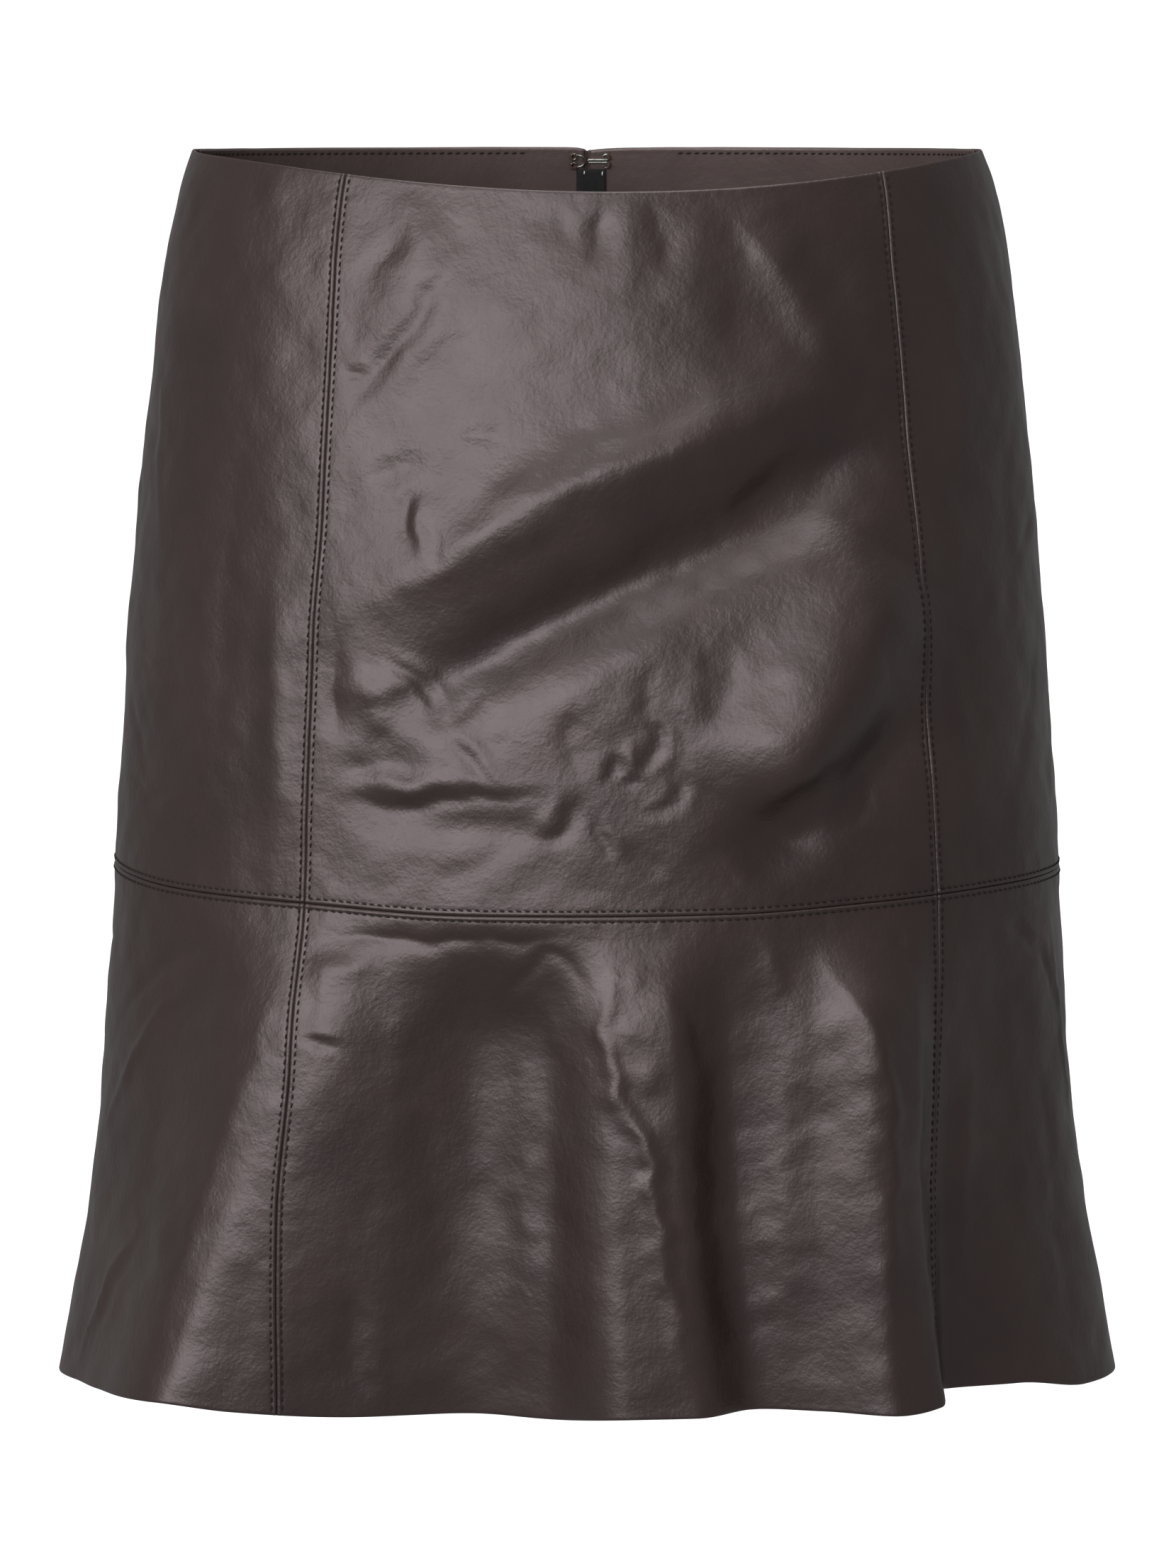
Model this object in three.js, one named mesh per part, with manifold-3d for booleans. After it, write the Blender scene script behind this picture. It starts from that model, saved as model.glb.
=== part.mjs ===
// A leather mini skirt with a flounce, hollow and filled out as it is worn. Millimetres, +Z up.
// The origin is the middle of the waist, level with the waist edge at the sides. The front faces -Y.
import * as THREE from 'three';
import { mergeVertices } from 'three/addons/utils/BufferGeometryUtils.js';
import Module from 'manifold-3d';

const wasm = await Module();
wasm.setup();

// Cloth and seams
const wall = 1.2;
const seamGap = 0.3;
const facingWall = 0.9;
const facingDepth = 45;
const facingInset = seamGap + wall;
const facingBackEdge = 1.0;
const facingBelowEdge = 0.4;

// Waist edge: how far it dips below the side level
const frontDip = { depth: 8.2, centre: 5, rate: 1.2 };
const backDip = 6.4;
const backNotch = { depth: 1.4, left: 1.8, right: 8 };

// Hem
const hemLevel = -443.5;

// Seams as angles round the body, in degrees: 0 is the front's middle, 90 the wearer's left side (+X)
const sideSeam = 98;
const leftPrincess = [
  { z: 0, phi: -37.0 },
  { z: -60, phi: -36.0 },
  { z: -120, phi: -35.8 },
  { z: -170, phi: -36.3 },
  { z: -262, phi: -36.1 },
  { z: -320, phi: -35.6 },
  { z: -370, phi: -36.5 },
  { z: -445, phi: -35.6 },
];
const rightPrincess = [
  { z: 0, phi: 47.5 },
  { z: -40, phi: 45.8 },
  { z: -100, phi: 46.0 },
  { z: -262, phi: 47.2 },
  { z: -350, phi: 46.6 },
  { z: -445, phi: 43.8 },
];

// Height of the flounce seam round the body
const flounceSeam = [
  { phi: -180, z: -260.5 },
  { phi: -135, z: -259.6 },
  { phi: -90, z: -258.0 },
  { phi: -60, z: -261.1 },
  { phi: -36, z: -262.4 },
  { phi: -15, z: -264.7 },
  { phi: 18, z: -264.3 },
  { phi: 36, z: -262.2 },
  { phi: 62, z: -260.0 },
  { phi: 90, z: -259.4 },
  { phi: 135, z: -260.0 },
  { phi: 180, z: -260.5 },
];

// Half width and the depths before and behind the side line, from the waist down
const sections = [
  { z: 8, halfWidth: 139.4, front: 96.0, back: 97.5 },
  { z: 0, halfWidth: 142.3, front: 98.0, back: 100.0 },
  { z: -14, halfWidth: 147.0, front: 101.5, back: 104.0 },
  { z: -36, halfWidth: 151.7, front: 107.0, back: 110.5 },
  { z: -62, halfWidth: 155.2, front: 112.0, back: 118.0 },
  { z: -100, halfWidth: 159.2, front: 118.0, back: 127.5 },
  { z: -150, halfWidth: 163.4, front: 123.5, back: 135.0 },
  { z: -205, halfWidth: 167.5, front: 127.0, back: 138.0 },
  { z: -262, halfWidth: 171.1, front: 128.5, back: 138.0 },
  { z: -310, halfWidth: 173.4, front: 132.0, back: 140.0 },
  { z: -350, halfWidth: 176.4, front: 135.5, back: 142.5 },
  { z: -385, halfWidth: 181.1, front: 138.8, back: 145.5 },
  { z: -415, halfWidth: 186.6, front: 141.2, back: 148.0 },
  { z: -450, halfWidth: 193.2, front: 143.5, back: 151.0 },
];

// Waves of the flounce: each runs from an angle at the seam to one at the hem, where it stands out by
// so much and lifts the hem by so much. Near the seam it stands farther out by the amount in near.
const waves = [
  { atSeam: -180, atHem: -180, out: 3, near: 0, lift: 0.3 },
  { atSeam: -166, atHem: -167, out: -16, near: -3, lift: 0.9 },
  { atSeam: -152, atHem: -151, out: 15, near: 3, lift: -0.6 },
  { atSeam: -137, atHem: -135, out: -14, near: -3, lift: 0.7 },
  { atSeam: -120, atHem: -119, out: 13, near: 3, lift: -0.3 },
  { atSeam: -105, atHem: -104, out: -9, near: -1, lift: 0.8 },
  { atSeam: -90, atHem: -90, out: 0, near: 0, lift: 0 },
  { atSeam: -76, atHem: -76, out: -1, near: 0, lift: 0.6 },
  { atSeam: -60, atHem: -64, out: 5, near: -2, lift: 1.3 },
  { atSeam: -36, atHem: -47, out: 22, near: 6, lift: 2.8 },
  { atSeam: -31, atHem: -40, out: 8, near: 7.5, lift: -0.4 },
  { atSeam: -23, atHem: -28, out: -20, near: 1, lift: -3.4 },
  { atSeam: -12, atHem: -14, out: -38, near: -11, lift: -2.9 },
  { atSeam: -6, atHem: -5, out: -30, near: -8.5, lift: -3.4 },
  { atSeam: 3, atHem: 4.5, out: -4, near: 4, lift: -0.3 },
  { atSeam: 9, atHem: 12, out: -4, near: 6, lift: -0.1 },
  { atSeam: 17, atHem: 20, out: -20, near: -3.5, lift: 0.5 },
  { atSeam: 27, atHem: 27.5, out: -10, near: 3, lift: 0 },
  { atSeam: 34, atHem: 35, out: 6, near: 12, lift: -1 },
  { atSeam: 41, atHem: 41, out: 3, near: 7, lift: 0.7 },
  { atSeam: 46, atHem: 45, out: -15, near: 2, lift: 4.4 },
  { atSeam: 51, atHem: 49.5, out: -24, near: 0, lift: 2.5 },
  { atSeam: 60, atHem: 61, out: -15, near: -4, lift: 2.6 },
  { atSeam: 74, atHem: 75, out: -6, near: -2, lift: -1.1 },
  { atSeam: 90, atHem: 90, out: 0, near: 0, lift: 0 },
  { atSeam: 105, atHem: 106, out: -11, near: -1, lift: 1 },
  { atSeam: 121, atHem: 122, out: 13, near: 3, lift: -0.4 },
  { atSeam: 136, atHem: 137, out: -14, near: -3, lift: 1.2 },
  { atSeam: 151, atHem: 151, out: 13, near: 3, lift: -0.2 },
  { atSeam: 167, atHem: 166, out: -12, near: -2, lift: 0.6 },
  { atSeam: 180, atHem: 180, out: 3, near: 0, lift: 0.3 },
];
const waveGrowth = 1.3;
const nearSeamPeak = 0.25;
const fullTurn = 360;

// Largest folds of the body: each is a soft ridge or trough between two points, which are given by
// how far they lie to the side and how high, on the front or on the back
const folds = [
  { side: 'front', x1: -84, z1: -152, x2: 96, z2: -62, width: 15, out: 3.6 },
  { side: 'front', x1: -74, z1: -192, x2: 102, z2: -98, width: 15, out: -8.2 },
  { side: 'front', x1: 58, z1: -230, x2: 108, z2: -138, width: 24, out: 13 },
  { side: 'front', x1: -84, z1: -230, x2: -16, z2: -234, width: 8, out: -2 },
  { side: 'front', x1: 54, z1: -250, x2: 118, z2: -196, width: 12, out: -7 },
  { side: 'front', x1: 62, z1: -20, x2: 88, z2: -72, width: 9, out: 1.8 },
  { side: 'front', x1: -108, z1: -150, x2: -110, z2: -246, width: 9, out: 1.2 },
  { side: 'back', x1: -84, z1: -150, x2: 30, z2: -196, width: 14, out: -2.2 },
  { side: 'back', x1: 88, z1: -140, x2: -24, z2: -222, width: 14, out: -2.4 },
  { side: 'back', x1: -96, z1: -206, x2: -10, z2: -238, width: 10, out: -2 },
  { side: 'back', x1: 96, z1: -200, x2: 34, z2: -240, width: 10, out: -2 },
];
const foldFadeAtSeam = 16;
const foldFadeAtZip = { from: 18, to: 42 };
const foldGirth = 150;
const foldEnds = { start: 0.3, rise: 3 };

// Mesh density
const bodyRows = 18;
const rowsCloserAtEdge = 1.3;
const flounceRows = 12;
const bodyStep = 6;
const flounceStep = 3.6;
const facingRows = 4;
const tapeRows = 12;
const tapeColumns = 2;
const labelCells = 3;
const slopeStep = 0.2;
const rowsBesideSlider = [-8, -4, 0, 4, 8];
const rowSpacingKept = 0.3;

// Centre back fastening
const tapeWall = 0.8;
const tapeWidth = 12;
const tapeInset = facingInset + 0.2;
const tapeBackEdge = 0.9;
const tapeTop = -53.3;
const tapeBottom = -205;
const sliderLevel = -34;
const sliderSpread = { half: 0.6, reach: 11 };
const sliderBody = { width: 6.4, depth: 2.0, height: 8.5 };
const sliderStem = { width: 0.8, height: 3.0 };
const frameReach = 5;
const sliderPlate = { width: 3.0, depth: 0.9, height: 8.0, clear: 0.35 };
const sliderArch = { width: 1.6, hollow: 1.95, bar: 0.8, leg: 0.8, halfHeight: 2.6 };
const pull = { width: 4.3, wide: 5.2, thick: 0.9, length: 17, windowHalf: 1.25, windowEnd: 3.7, lean: 4 };
const wire = { radius: 0.35, sides: 6, steps: 72, ring: 1.05, clear: 0.3 };
const hookLevel = -10.8;
const hook = { ringX: 6.9, ringZ: 1.5, bend: 0.5, bendX: 0.9 };
const eye = { ringX: -4.9, ringZ: 1.7, bow: 2.1, bowX: -2.9 };
const label = { left: -3.9, right: 7.0, top: -14.6, bottom: -27.4, wall: 0.6 };

// Monotone cubic through a table's rows, so that nothing bulges past a stated size
function curveThrough(rows, along, value) {
  const sorted = [...rows].sort((p, q) => p[along] - q[along]);
  const x = sorted.map((row) => row[along]);
  const y = sorted.map((row) => row[value]);
  const last = x.length - 1;
  const slope = [];
  for (let i = 0; i < last; i++) slope.push((y[i + 1] - y[i]) / (x[i + 1] - x[i]));
  const tangent = [slope[0]];
  for (let i = 1; i < last; i++) {
    const h0 = x[i] - x[i - 1];
    const h1 = x[i + 1] - x[i];
    const flat = slope[i - 1] * slope[i] <= 0;
    const w0 = 2 * h1 + h0;
    const w1 = h1 + 2 * h0;
    tangent.push(flat ? 0 : (w0 + w1) / (w0 / slope[i - 1] + w1 / slope[i]));
  }
  tangent.push(slope[last - 1]);
  return (at) => {
    const p = Math.min(Math.max(at, x[0]), x[last]);
    let i = 0;
    while (i < last - 1 && p > x[i + 1]) i++;
    const h = x[i + 1] - x[i];
    const t = (p - x[i]) / h;
    const s = 1 - t;
    return y[i] * (1 + 2 * t) * s * s + h * tangent[i] * t * s * s
      + y[i + 1] * t * t * (3 - 2 * t) - h * tangent[i + 1] * t * t * s;
  };
}

const radians = (degrees) => degrees * Math.PI / 180;
const mix = (a, b, t) => a + (b - a) * t;
const clamp01 = (t) => Math.min(Math.max(t, 0), 1);
const smooth = (t) => clamp01(t) * clamp01(t) * (3 - 2 * clamp01(t));

const halfWidthAt = curveThrough(sections, 'z', 'halfWidth');
const frontAt = curveThrough(sections, 'z', 'front');
const backAt = curveThrough(sections, 'z', 'back');
const seamAt = curveThrough(flounceSeam, 'phi', 'z');
const leftPrincessAt = curveThrough(leftPrincess, 'z', 'phi');
const rightPrincessAt = curveThrough(rightPrincess, 'z', 'phi');
const hemLiftAt = curveThrough(waves, 'atHem', 'lift');

const wrapped = (phi) => phi - fullTurn * Math.round(phi / fullTurn);
const seamLevel = (phi) => seamAt(wrapped(phi));
const hemHeight = (phi) => hemLevel + hemLiftAt(wrapped(phi));

// Body without folds: an ellipse with its own depth before and behind
function basePoint(phi, z) {
  const angle = radians(phi);
  const depth = Math.cos(angle) > 0 ? frontAt(z) : backAt(z);
  return new THREE.Vector3(halfWidthAt(z) * Math.sin(angle), -depth * Math.cos(angle), z);
}

function horizontalNormal(point, phi, z, skin) {
  const ahead = skin(phi + slopeStep, z);
  const behind = skin(phi - slopeStep, z);
  return new THREE.Vector3(ahead.y - behind.y, behind.x - ahead.x, 0).normalize();
}

function waistEdge(phi) {
  const turn = wrapped(phi);
  const fromFront = Math.abs(frontDip.rate * (turn - frontDip.centre));
  const front = fromFront < 90 ? frontDip.depth * Math.cos(radians(fromFront)) ** 2 : 0;
  const back = backDip * Math.max(0, -Math.cos(radians(turn)));
  const fromBack = -halfWidthAt(0) * Math.sin(radians(turn)) * (Math.abs(turn) > 90 ? 1 : 0);
  const reach = fromBack > 0 ? backNotch.left : backNotch.right;
  const notch = Math.abs(turn) > 90 ? backNotch.depth * Math.exp(-Math.abs(fromBack) / reach) : 0;
  return -front - back - notch;
}

// How far a wave stands out of the flounce at a share of the way from seam to hem
function waveOut(phi, down) {
  const turn = wrapped(phi);
  const lower = Math.pow(down, waveGrowth);
  const upper = smooth(down / nearSeamPeak) * (1 - smooth((down - nearSeamPeak) / (1 - nearSeamPeak)));
  const rows = waves.map((row) => ({
    phi: mix(row.atSeam, row.atHem, down),
    out: row.out * lower + row.near * upper,
  }));
  return curveThrough(rows, 'phi', 'out')(turn);
}

function foldOut(phi, z) {
  const turn = wrapped(phi);
  const onFront = Math.abs(turn) <= 90;
  let total = 0;
  for (const fold of folds) {
    if ((fold.side === 'front') !== onFront) continue;
    const girth = (x, level) => {
      const angle = Math.asin(x / halfWidthAt(level));
      return foldGirth * angle;
    };
    const here = onFront ? radians(turn) : Math.sign(turn) * Math.PI - radians(turn);
    const p = new THREE.Vector2(foldGirth * here, z);
    const start = new THREE.Vector2(girth(fold.x1, fold.z1), fold.z1);
    const along = new THREE.Vector2(girth(fold.x2, fold.z2), fold.z2).sub(start);
    const share = p.clone().sub(start).dot(along) / along.lengthSq();
    const away = p.distanceTo(start.clone().addScaledVector(along, clamp01(share)));
    const fromEnd = 0.5 - Math.abs(clamp01(share) - 0.5);
    const ends = smooth(foldEnds.start + foldEnds.rise * fromEnd);
    total += fold.out * ends * Math.exp(-((away / fold.width) ** 2));
  }
  const fromZip = foldGirth * radians(180 - Math.abs(turn));
  const besideZip = (fromZip - foldFadeAtZip.from) / (foldFadeAtZip.to - foldFadeAtZip.from);
  const aboveSeam = (z - seamLevel(turn)) / foldFadeAtSeam;
  return total * smooth(besideZip) * smooth(aboveSeam);
}

// The leather's outer face
function skinPoint(phi, z) {
  const seam = seamLevel(phi);
  const down = clamp01((seam - z) / (seam - hemHeight(phi)));
  const out = down > 0 ? waveOut(phi, down) : foldOut(phi, z);
  const point = basePoint(phi, z);
  return point.addScaledVector(horizontalNormal(point, phi, z, basePoint), out);
}

// A point so far in from the outer face, measured level
function layerPoint(phi, z, inward) {
  const point = skinPoint(phi, z);
  const normal = horizontalNormal(point, phi, z, skinPoint);
  return point.addScaledVector(normal, -inward);
}

const girthSpeed = (phi, z) => skinPoint(phi + 0.5, z).distanceTo(skinPoint(phi - 0.5, z));

// A wall between two seams and two levels. The seams are functions of the height and the levels of the
// angle, a side is kept back from its seam by so many millimetres, and the wall starts so far in.
function wallPiece({ from, to, top, bottom, keepFrom, keepTo, inset, thick, columns, rows, levelAt = 0 }) {
  const outer = [];
  const inner = [];
  for (let i = 0; i <= columns; i++) {
    for (let j = 0; j <= rows.length - 1; j++) {
      const near = mix(top(levelAt), bottom(levelAt), rows[j]);
      const start = from(near) + keepFrom(near) / girthSpeed(from(near), near);
      const end = to(near) - keepTo(near) / girthSpeed(to(near), near);
      const phi = mix(start, end, i / columns);
      const z = mix(top(phi), bottom(phi), rows[j]);
      outer.push(layerPoint(phi, z, inset));
      inner.push(layerPoint(phi, z, inset + thick));
    }
  }
  const deep = rows.length;
  const at = (i, j) => i * deep + j;
  const behind = outer.length;
  const faces = [];
  const quad = (a, b, c, d) => faces.push(a, b, c, a, c, d);
  for (let i = 0; i < columns; i++) {
    for (let j = 0; j < deep - 1; j++) {
      quad(at(i, j), at(i, j + 1), at(i + 1, j + 1), at(i + 1, j));
      quad(behind + at(i, j), behind + at(i + 1, j), behind + at(i + 1, j + 1), behind + at(i, j + 1));
    }
    const low = deep - 1;
    quad(at(i, 0), at(i + 1, 0), behind + at(i + 1, 0), behind + at(i, 0));
    quad(at(i, low), behind + at(i, low), behind + at(i + 1, low), at(i + 1, low));
  }
  for (let j = 0; j < deep - 1; j++) {
    quad(at(0, j), behind + at(0, j), behind + at(0, j + 1), at(0, j + 1));
    quad(at(columns, j), at(columns, j + 1), behind + at(columns, j + 1), behind + at(columns, j));
  }
  const geometry = new THREE.BufferGeometry();
  const positions = [...outer, ...inner].flatMap((p) => [p.x, p.y, p.z]);
  geometry.setAttribute('position', new THREE.Float32BufferAttribute(positions, 3));
  geometry.setIndex(faces);
  geometry.computeVertexNormals();
  return geometry;
}

const leather = new THREE.MeshStandardMaterial({ color: 0x3b302f, roughness: 0.42, metalness: 0 });
const facingLeather = new THREE.MeshStandardMaterial({ color: 0x352b2a, roughness: 0.5, metalness: 0 });
const tapeCloth = new THREE.MeshStandardMaterial({ color: 0x2b2322, roughness: 0.9, metalness: 0 });
const metal = new THREE.MeshStandardMaterial({ color: 0x4a4644, roughness: 0.3, metalness: 1 });
const labelCloth = new THREE.MeshStandardMaterial({ color: 0x101010, roughness: 0.6, metalness: 0 });

const skirt = new THREE.Group();

function add(name, geometry, material) {
  const mesh = new THREE.Mesh(geometry, material);
  mesh.name = name;
  skirt.add(mesh);
  return mesh;
}

// The back edges stand a little apart where the slider's stem passes between them
function backSpread(z) {
  const away = Math.abs(z - sliderLevel) / sliderSpread.reach;
  return seamGap / 2 + (away < 1 ? sliderSpread.half * Math.cos(away * Math.PI / 2) ** 2 : 0);
}

const halfGap = () => seamGap / 2;
const evenRows = (count) => Array.from({ length: count + 1 }, (_, j) => j / count);
const bodyRowsFromEdge = () => evenRows(bodyRows).map((share) => share ** rowsCloserAtEdge);
const columnsFor = (span, step) => Math.max(2, Math.round(span / step));

// Rows of a back panel, closer together beside the slider
function backRows() {
  const top = waistEdge(180);
  const deep = seamLevel(180) + seamGap / 2 - top;
  const beside = rowsBesideSlider.map((off) => (sliderLevel + off - top) / deep);
  const clearOf = (row) => beside.every((near) => Math.abs(row - near) > rowSpacingKept / bodyRows);
  return [...bodyRowsFromEdge().filter(clearOf), ...beside].sort((p, q) => p - q);
}

const bodyBottom = (phi) => seamLevel(phi) + seamGap / 2;
const flounceTop = (phi) => seamLevel(phi) - seamGap / 2;

// Front, side and back pieces, cut the same way above and below the flounce seam
const cuts = [
  { name: 'front_centre', from: leftPrincessAt, to: rightPrincessAt, span: 83 },
  { name: 'front_side_left', from: () => -sideSeam, to: leftPrincessAt, span: 62 },
  { name: 'front_side_right', from: rightPrincessAt, to: () => sideSeam, span: 51 },
  { name: 'back_left', from: () => -180, to: () => -sideSeam, span: 82, backFrom: true },
  { name: 'back_right', from: () => sideSeam, to: () => 180, span: 82, backTo: true },
];

for (const cut of cuts) {
  const isBack = Boolean(cut.backFrom || cut.backTo);
  const body = wallPiece({
    from: cut.from,
    to: cut.to,
    top: waistEdge,
    bottom: bodyBottom,
    keepFrom: cut.backFrom ? backSpread : halfGap,
    keepTo: cut.backTo ? backSpread : halfGap,
    inset: 0,
    thick: wall,
    columns: columnsFor(cut.span, bodyStep),
    rows: isBack ? backRows() : bodyRowsFromEdge(),
    levelAt: isBack ? 180 : 0,
  });
  add(`skirt_${cut.name}`, body, leather);
  const flounce = wallPiece({
    from: cut.from,
    to: cut.to,
    top: flounceTop,
    bottom: hemHeight,
    keepFrom: halfGap,
    keepTo: halfGap,
    inset: 0,
    thick: wall,
    columns: columnsFor(cut.span, flounceStep),
    rows: evenRows(flounceRows),
  });
  add(`flounce_${cut.name}`, flounce, leather);
}

// Back facing, turned in at the waist edge
const facingTop = (phi) => waistEdge(phi) - facingBelowEdge;
const facingBottom = (phi) => waistEdge(phi) - facingDepth;
const facings = [
  { name: 'facing_back_left', from: -180, to: -sideSeam },
  { name: 'facing_back_right', from: sideSeam, to: 180 },
];
for (const facing of facings) {
  const geometry = wallPiece({
    from: () => facing.from,
    to: () => facing.to,
    top: facingTop,
    bottom: facingBottom,
    keepFrom: () => (facing.from < 0 ? facingBackEdge : halfGap()),
    keepTo: () => (facing.to > sideSeam ? facingBackEdge : halfGap()),
    inset: facingInset,
    thick: facingWall,
    columns: columnsFor(facing.to - facing.from, bodyStep),
    rows: evenRows(facingRows),
  });
  add(facing.name, geometry, facingLeather);
}

// Zip tapes inside the centre back seam, below the facing
for (const [name, sign] of [['zip_tape_left', -1], ['zip_tape_right', 1]]) {
  const seam = 180 * sign;
  const edge = (keep) => (z) => seam - sign * keep / girthSpeed(seam, z);
  const geometry = wallPiece({
    from: sign < 0 ? edge(tapeBackEdge) : edge(tapeWidth),
    to: sign < 0 ? edge(tapeWidth) : edge(tapeBackEdge),
    top: () => tapeTop,
    bottom: () => tapeBottom,
    keepFrom: () => 0,
    keepTo: () => 0,
    inset: tapeInset,
    thick: tapeWall,
    columns: tapeColumns,
    rows: evenRows(tapeRows),
  });
  add(name, geometry, tapeCloth);
}

// Solids joined and cut
function solidOf(geometry) {
  const bare = geometry.clone();
  bare.deleteAttribute('normal');
  bare.deleteAttribute('uv');
  const merged = mergeVertices(bare, 1e-4);
  return new wasm.Manifold(new wasm.Mesh({
    numProp: 3,
    vertProperties: new Float32Array(merged.attributes.position.array),
    triVerts: new Uint32Array(merged.index.array),
  }));
}

function geometryOf(solid) {
  const mesh = solid.getMesh();
  const geometry = new THREE.BufferGeometry();
  geometry.setAttribute('position', new THREE.BufferAttribute(mesh.vertProperties, 3));
  geometry.setIndex(new THREE.BufferAttribute(mesh.triVerts, 1));
  geometry.computeVertexNormals();
  return geometry;
}

function block(x1, x2, y1, y2, z1, z2) {
  const geometry = new THREE.BoxGeometry(x2 - x1, y2 - y1, z2 - z1);
  geometry.translate((x1 + x2) / 2, (y1 + y2) / 2, (z1 + z2) / 2);
  return solidOf(geometry);
}

// A frame on the centre back seam: x across, y out of the cloth, z up along it
function backFrame(level) {
  const above = skinPoint(180, level + frameReach);
  const below = skinPoint(180, level - frameReach);
  const group = new THREE.Group();
  group.position.copy(skinPoint(180, level));
  group.rotation.x = Math.atan2(below.y - above.y, above.z - below.z);
  skirt.add(group);
  return group;
}

// Slider: a body inside, a stem through the seam, and a plate with an arch outside
const zipFrame = backFrame(sliderLevel);
const bodyOut = -(facingInset + facingWall + seamGap);
const plateOut = sliderPlate.clear + sliderPlate.depth;
const archOut = plateOut + sliderArch.hollow;
const archTop = archOut + sliderArch.bar;
const archLeg = sliderArch.halfHeight - sliderArch.leg;
const half = (size) => size / 2;
const sliderSolid = [
  block(-half(sliderBody.width), half(sliderBody.width), bodyOut - sliderBody.depth, bodyOut,
    -half(sliderBody.height), half(sliderBody.height)),
  block(-half(sliderStem.width), half(sliderStem.width), bodyOut - seamGap, plateOut - seamGap,
    -half(sliderStem.height), half(sliderStem.height)),
  block(-half(sliderPlate.width), half(sliderPlate.width), sliderPlate.clear, plateOut,
    -half(sliderPlate.height), half(sliderPlate.height)),
  block(-half(sliderArch.width), half(sliderArch.width), archOut, archTop,
    -sliderArch.halfHeight, sliderArch.halfHeight),
  block(-half(sliderArch.width), half(sliderArch.width), plateOut - seamGap, archTop,
    archLeg, sliderArch.halfHeight),
  block(-half(sliderArch.width), half(sliderArch.width), plateOut - seamGap, archTop,
    -sliderArch.halfHeight, -archLeg),
].reduce((whole, piece) => whole.add(piece));
const slider = new THREE.Mesh(geometryOf(sliderSolid), metal);
slider.name = 'zip_slider';
zipFrame.add(slider);

// Pull tab: a teardrop with a window round the arch, hinged on the bar above the window
const pullFrame = new THREE.Group();
pullFrame.position.y = plateOut + half(sliderArch.hollow);
pullFrame.rotation.x = -radians(pull.lean);
zipFrame.add(pullFrame);
const bar = half(pull.thick);
const tipRadius = half(pull.wide);
const outline = new THREE.Shape();
outline.moveTo(-half(pull.width), bar);
outline.lineTo(half(pull.width), bar);
outline.lineTo(half(pull.width), -pull.windowEnd - 1);
outline.lineTo(tipRadius, -pull.length + tipRadius);
outline.absarc(0, -pull.length + tipRadius, tipRadius, 0, -Math.PI, true);
outline.lineTo(-half(pull.width), -pull.windowEnd - 1);
outline.closePath();
const windowHole = new THREE.Path();
windowHole.moveTo(-pull.windowHalf, -bar);
windowHole.lineTo(-pull.windowHalf, -pull.windowEnd);
windowHole.lineTo(pull.windowHalf, -pull.windowEnd);
windowHole.lineTo(pull.windowHalf, -bar);
windowHole.closePath();
outline.holes.push(windowHole);
const pullGeometry = new THREE.ExtrudeGeometry(outline, {
  depth: pull.thick,
  bevelEnabled: false,
  curveSegments: 8,
});
pullGeometry.translate(0, 0, -half(pull.thick));
pullGeometry.rotateX(Math.PI / 2);
const pullMesh = new THREE.Mesh(pullGeometry, metal);
pullMesh.name = 'zip_pull';
pullFrame.add(pullMesh);

// A bent wire through points in the plane of the cloth
function bentWire(points) {
  const route = points.map(([x, z]) => new THREE.Vector3(x, 0, z));
  const path = new THREE.CatmullRomCurve3(route, false, 'centripetal');
  const round = new THREE.Shape();
  for (let k = 0; k < wire.sides; k++) {
    const turn = 2 * Math.PI * k / wire.sides;
    const corner = [wire.radius * Math.cos(turn), wire.radius * Math.sin(turn)];
    if (k === 0) round.moveTo(...corner);
    else round.lineTo(...corner);
  }
  round.closePath();
  return new THREE.ExtrudeGeometry(round, { steps: wire.steps, bevelEnabled: false, extrudePath: path });
}

// Points along an arc, its angles in degrees
function arc(x, z, radius, start, end, count) {
  return Array.from({ length: count + 1 }, (_, k) => {
    const turn = radians(mix(start, end, k / count));
    return [x + radius * Math.cos(turn), z + radius * Math.sin(turn)];
  });
}

// Hook on the right edge and eye on the left, both on the facing, each with two sewing rings
const wireFrame = backFrame(hookLevel);
const wireOut = -(facingInset + facingWall + wire.clear + wire.radius);
const hookPoints = [
  ...arc(hook.ringX, hook.ringZ, wire.ring, 170, -110, 8),
  [mix(hook.bendX, hook.ringX, 0.6), hook.bend],
  ...arc(hook.bendX, 0, hook.bend, 90, 270, 4),
  [mix(hook.bendX, hook.ringX, 0.6), -hook.bend],
  ...arc(hook.ringX, -hook.ringZ, wire.ring, 110, -170, 8),
];
const eyePoints = [
  ...arc(eye.ringX, eye.ringZ, wire.ring, -20, -270, 8),
  ...arc(eye.bowX, 0, eye.bow, 90, -90, 8),
  ...arc(eye.ringX, -eye.ringZ, wire.ring, 270, 20, 8),
];
for (const [name, points] of [['hook', hookPoints], ['eye', eyePoints]]) {
  const mesh = new THREE.Mesh(bentWire(points), metal);
  mesh.name = name;
  mesh.position.y = wireOut;
  wireFrame.add(mesh);
}

// Bare label, sewn to the facing under the hook
const angleOf = (x) => 180 - Math.asin(x / halfWidthAt(label.top)) * 180 / Math.PI;
const labelGeometry = wallPiece({
  from: () => angleOf(label.right),
  to: () => angleOf(label.left),
  top: () => label.top,
  bottom: () => label.bottom,
  keepFrom: () => 0,
  keepTo: () => 0,
  inset: facingInset + facingWall + wire.clear,
  thick: label.wall,
  columns: labelCells,
  rows: evenRows(labelCells),
});
add('label', labelGeometry, labelCloth);

export default skirt;
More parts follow.
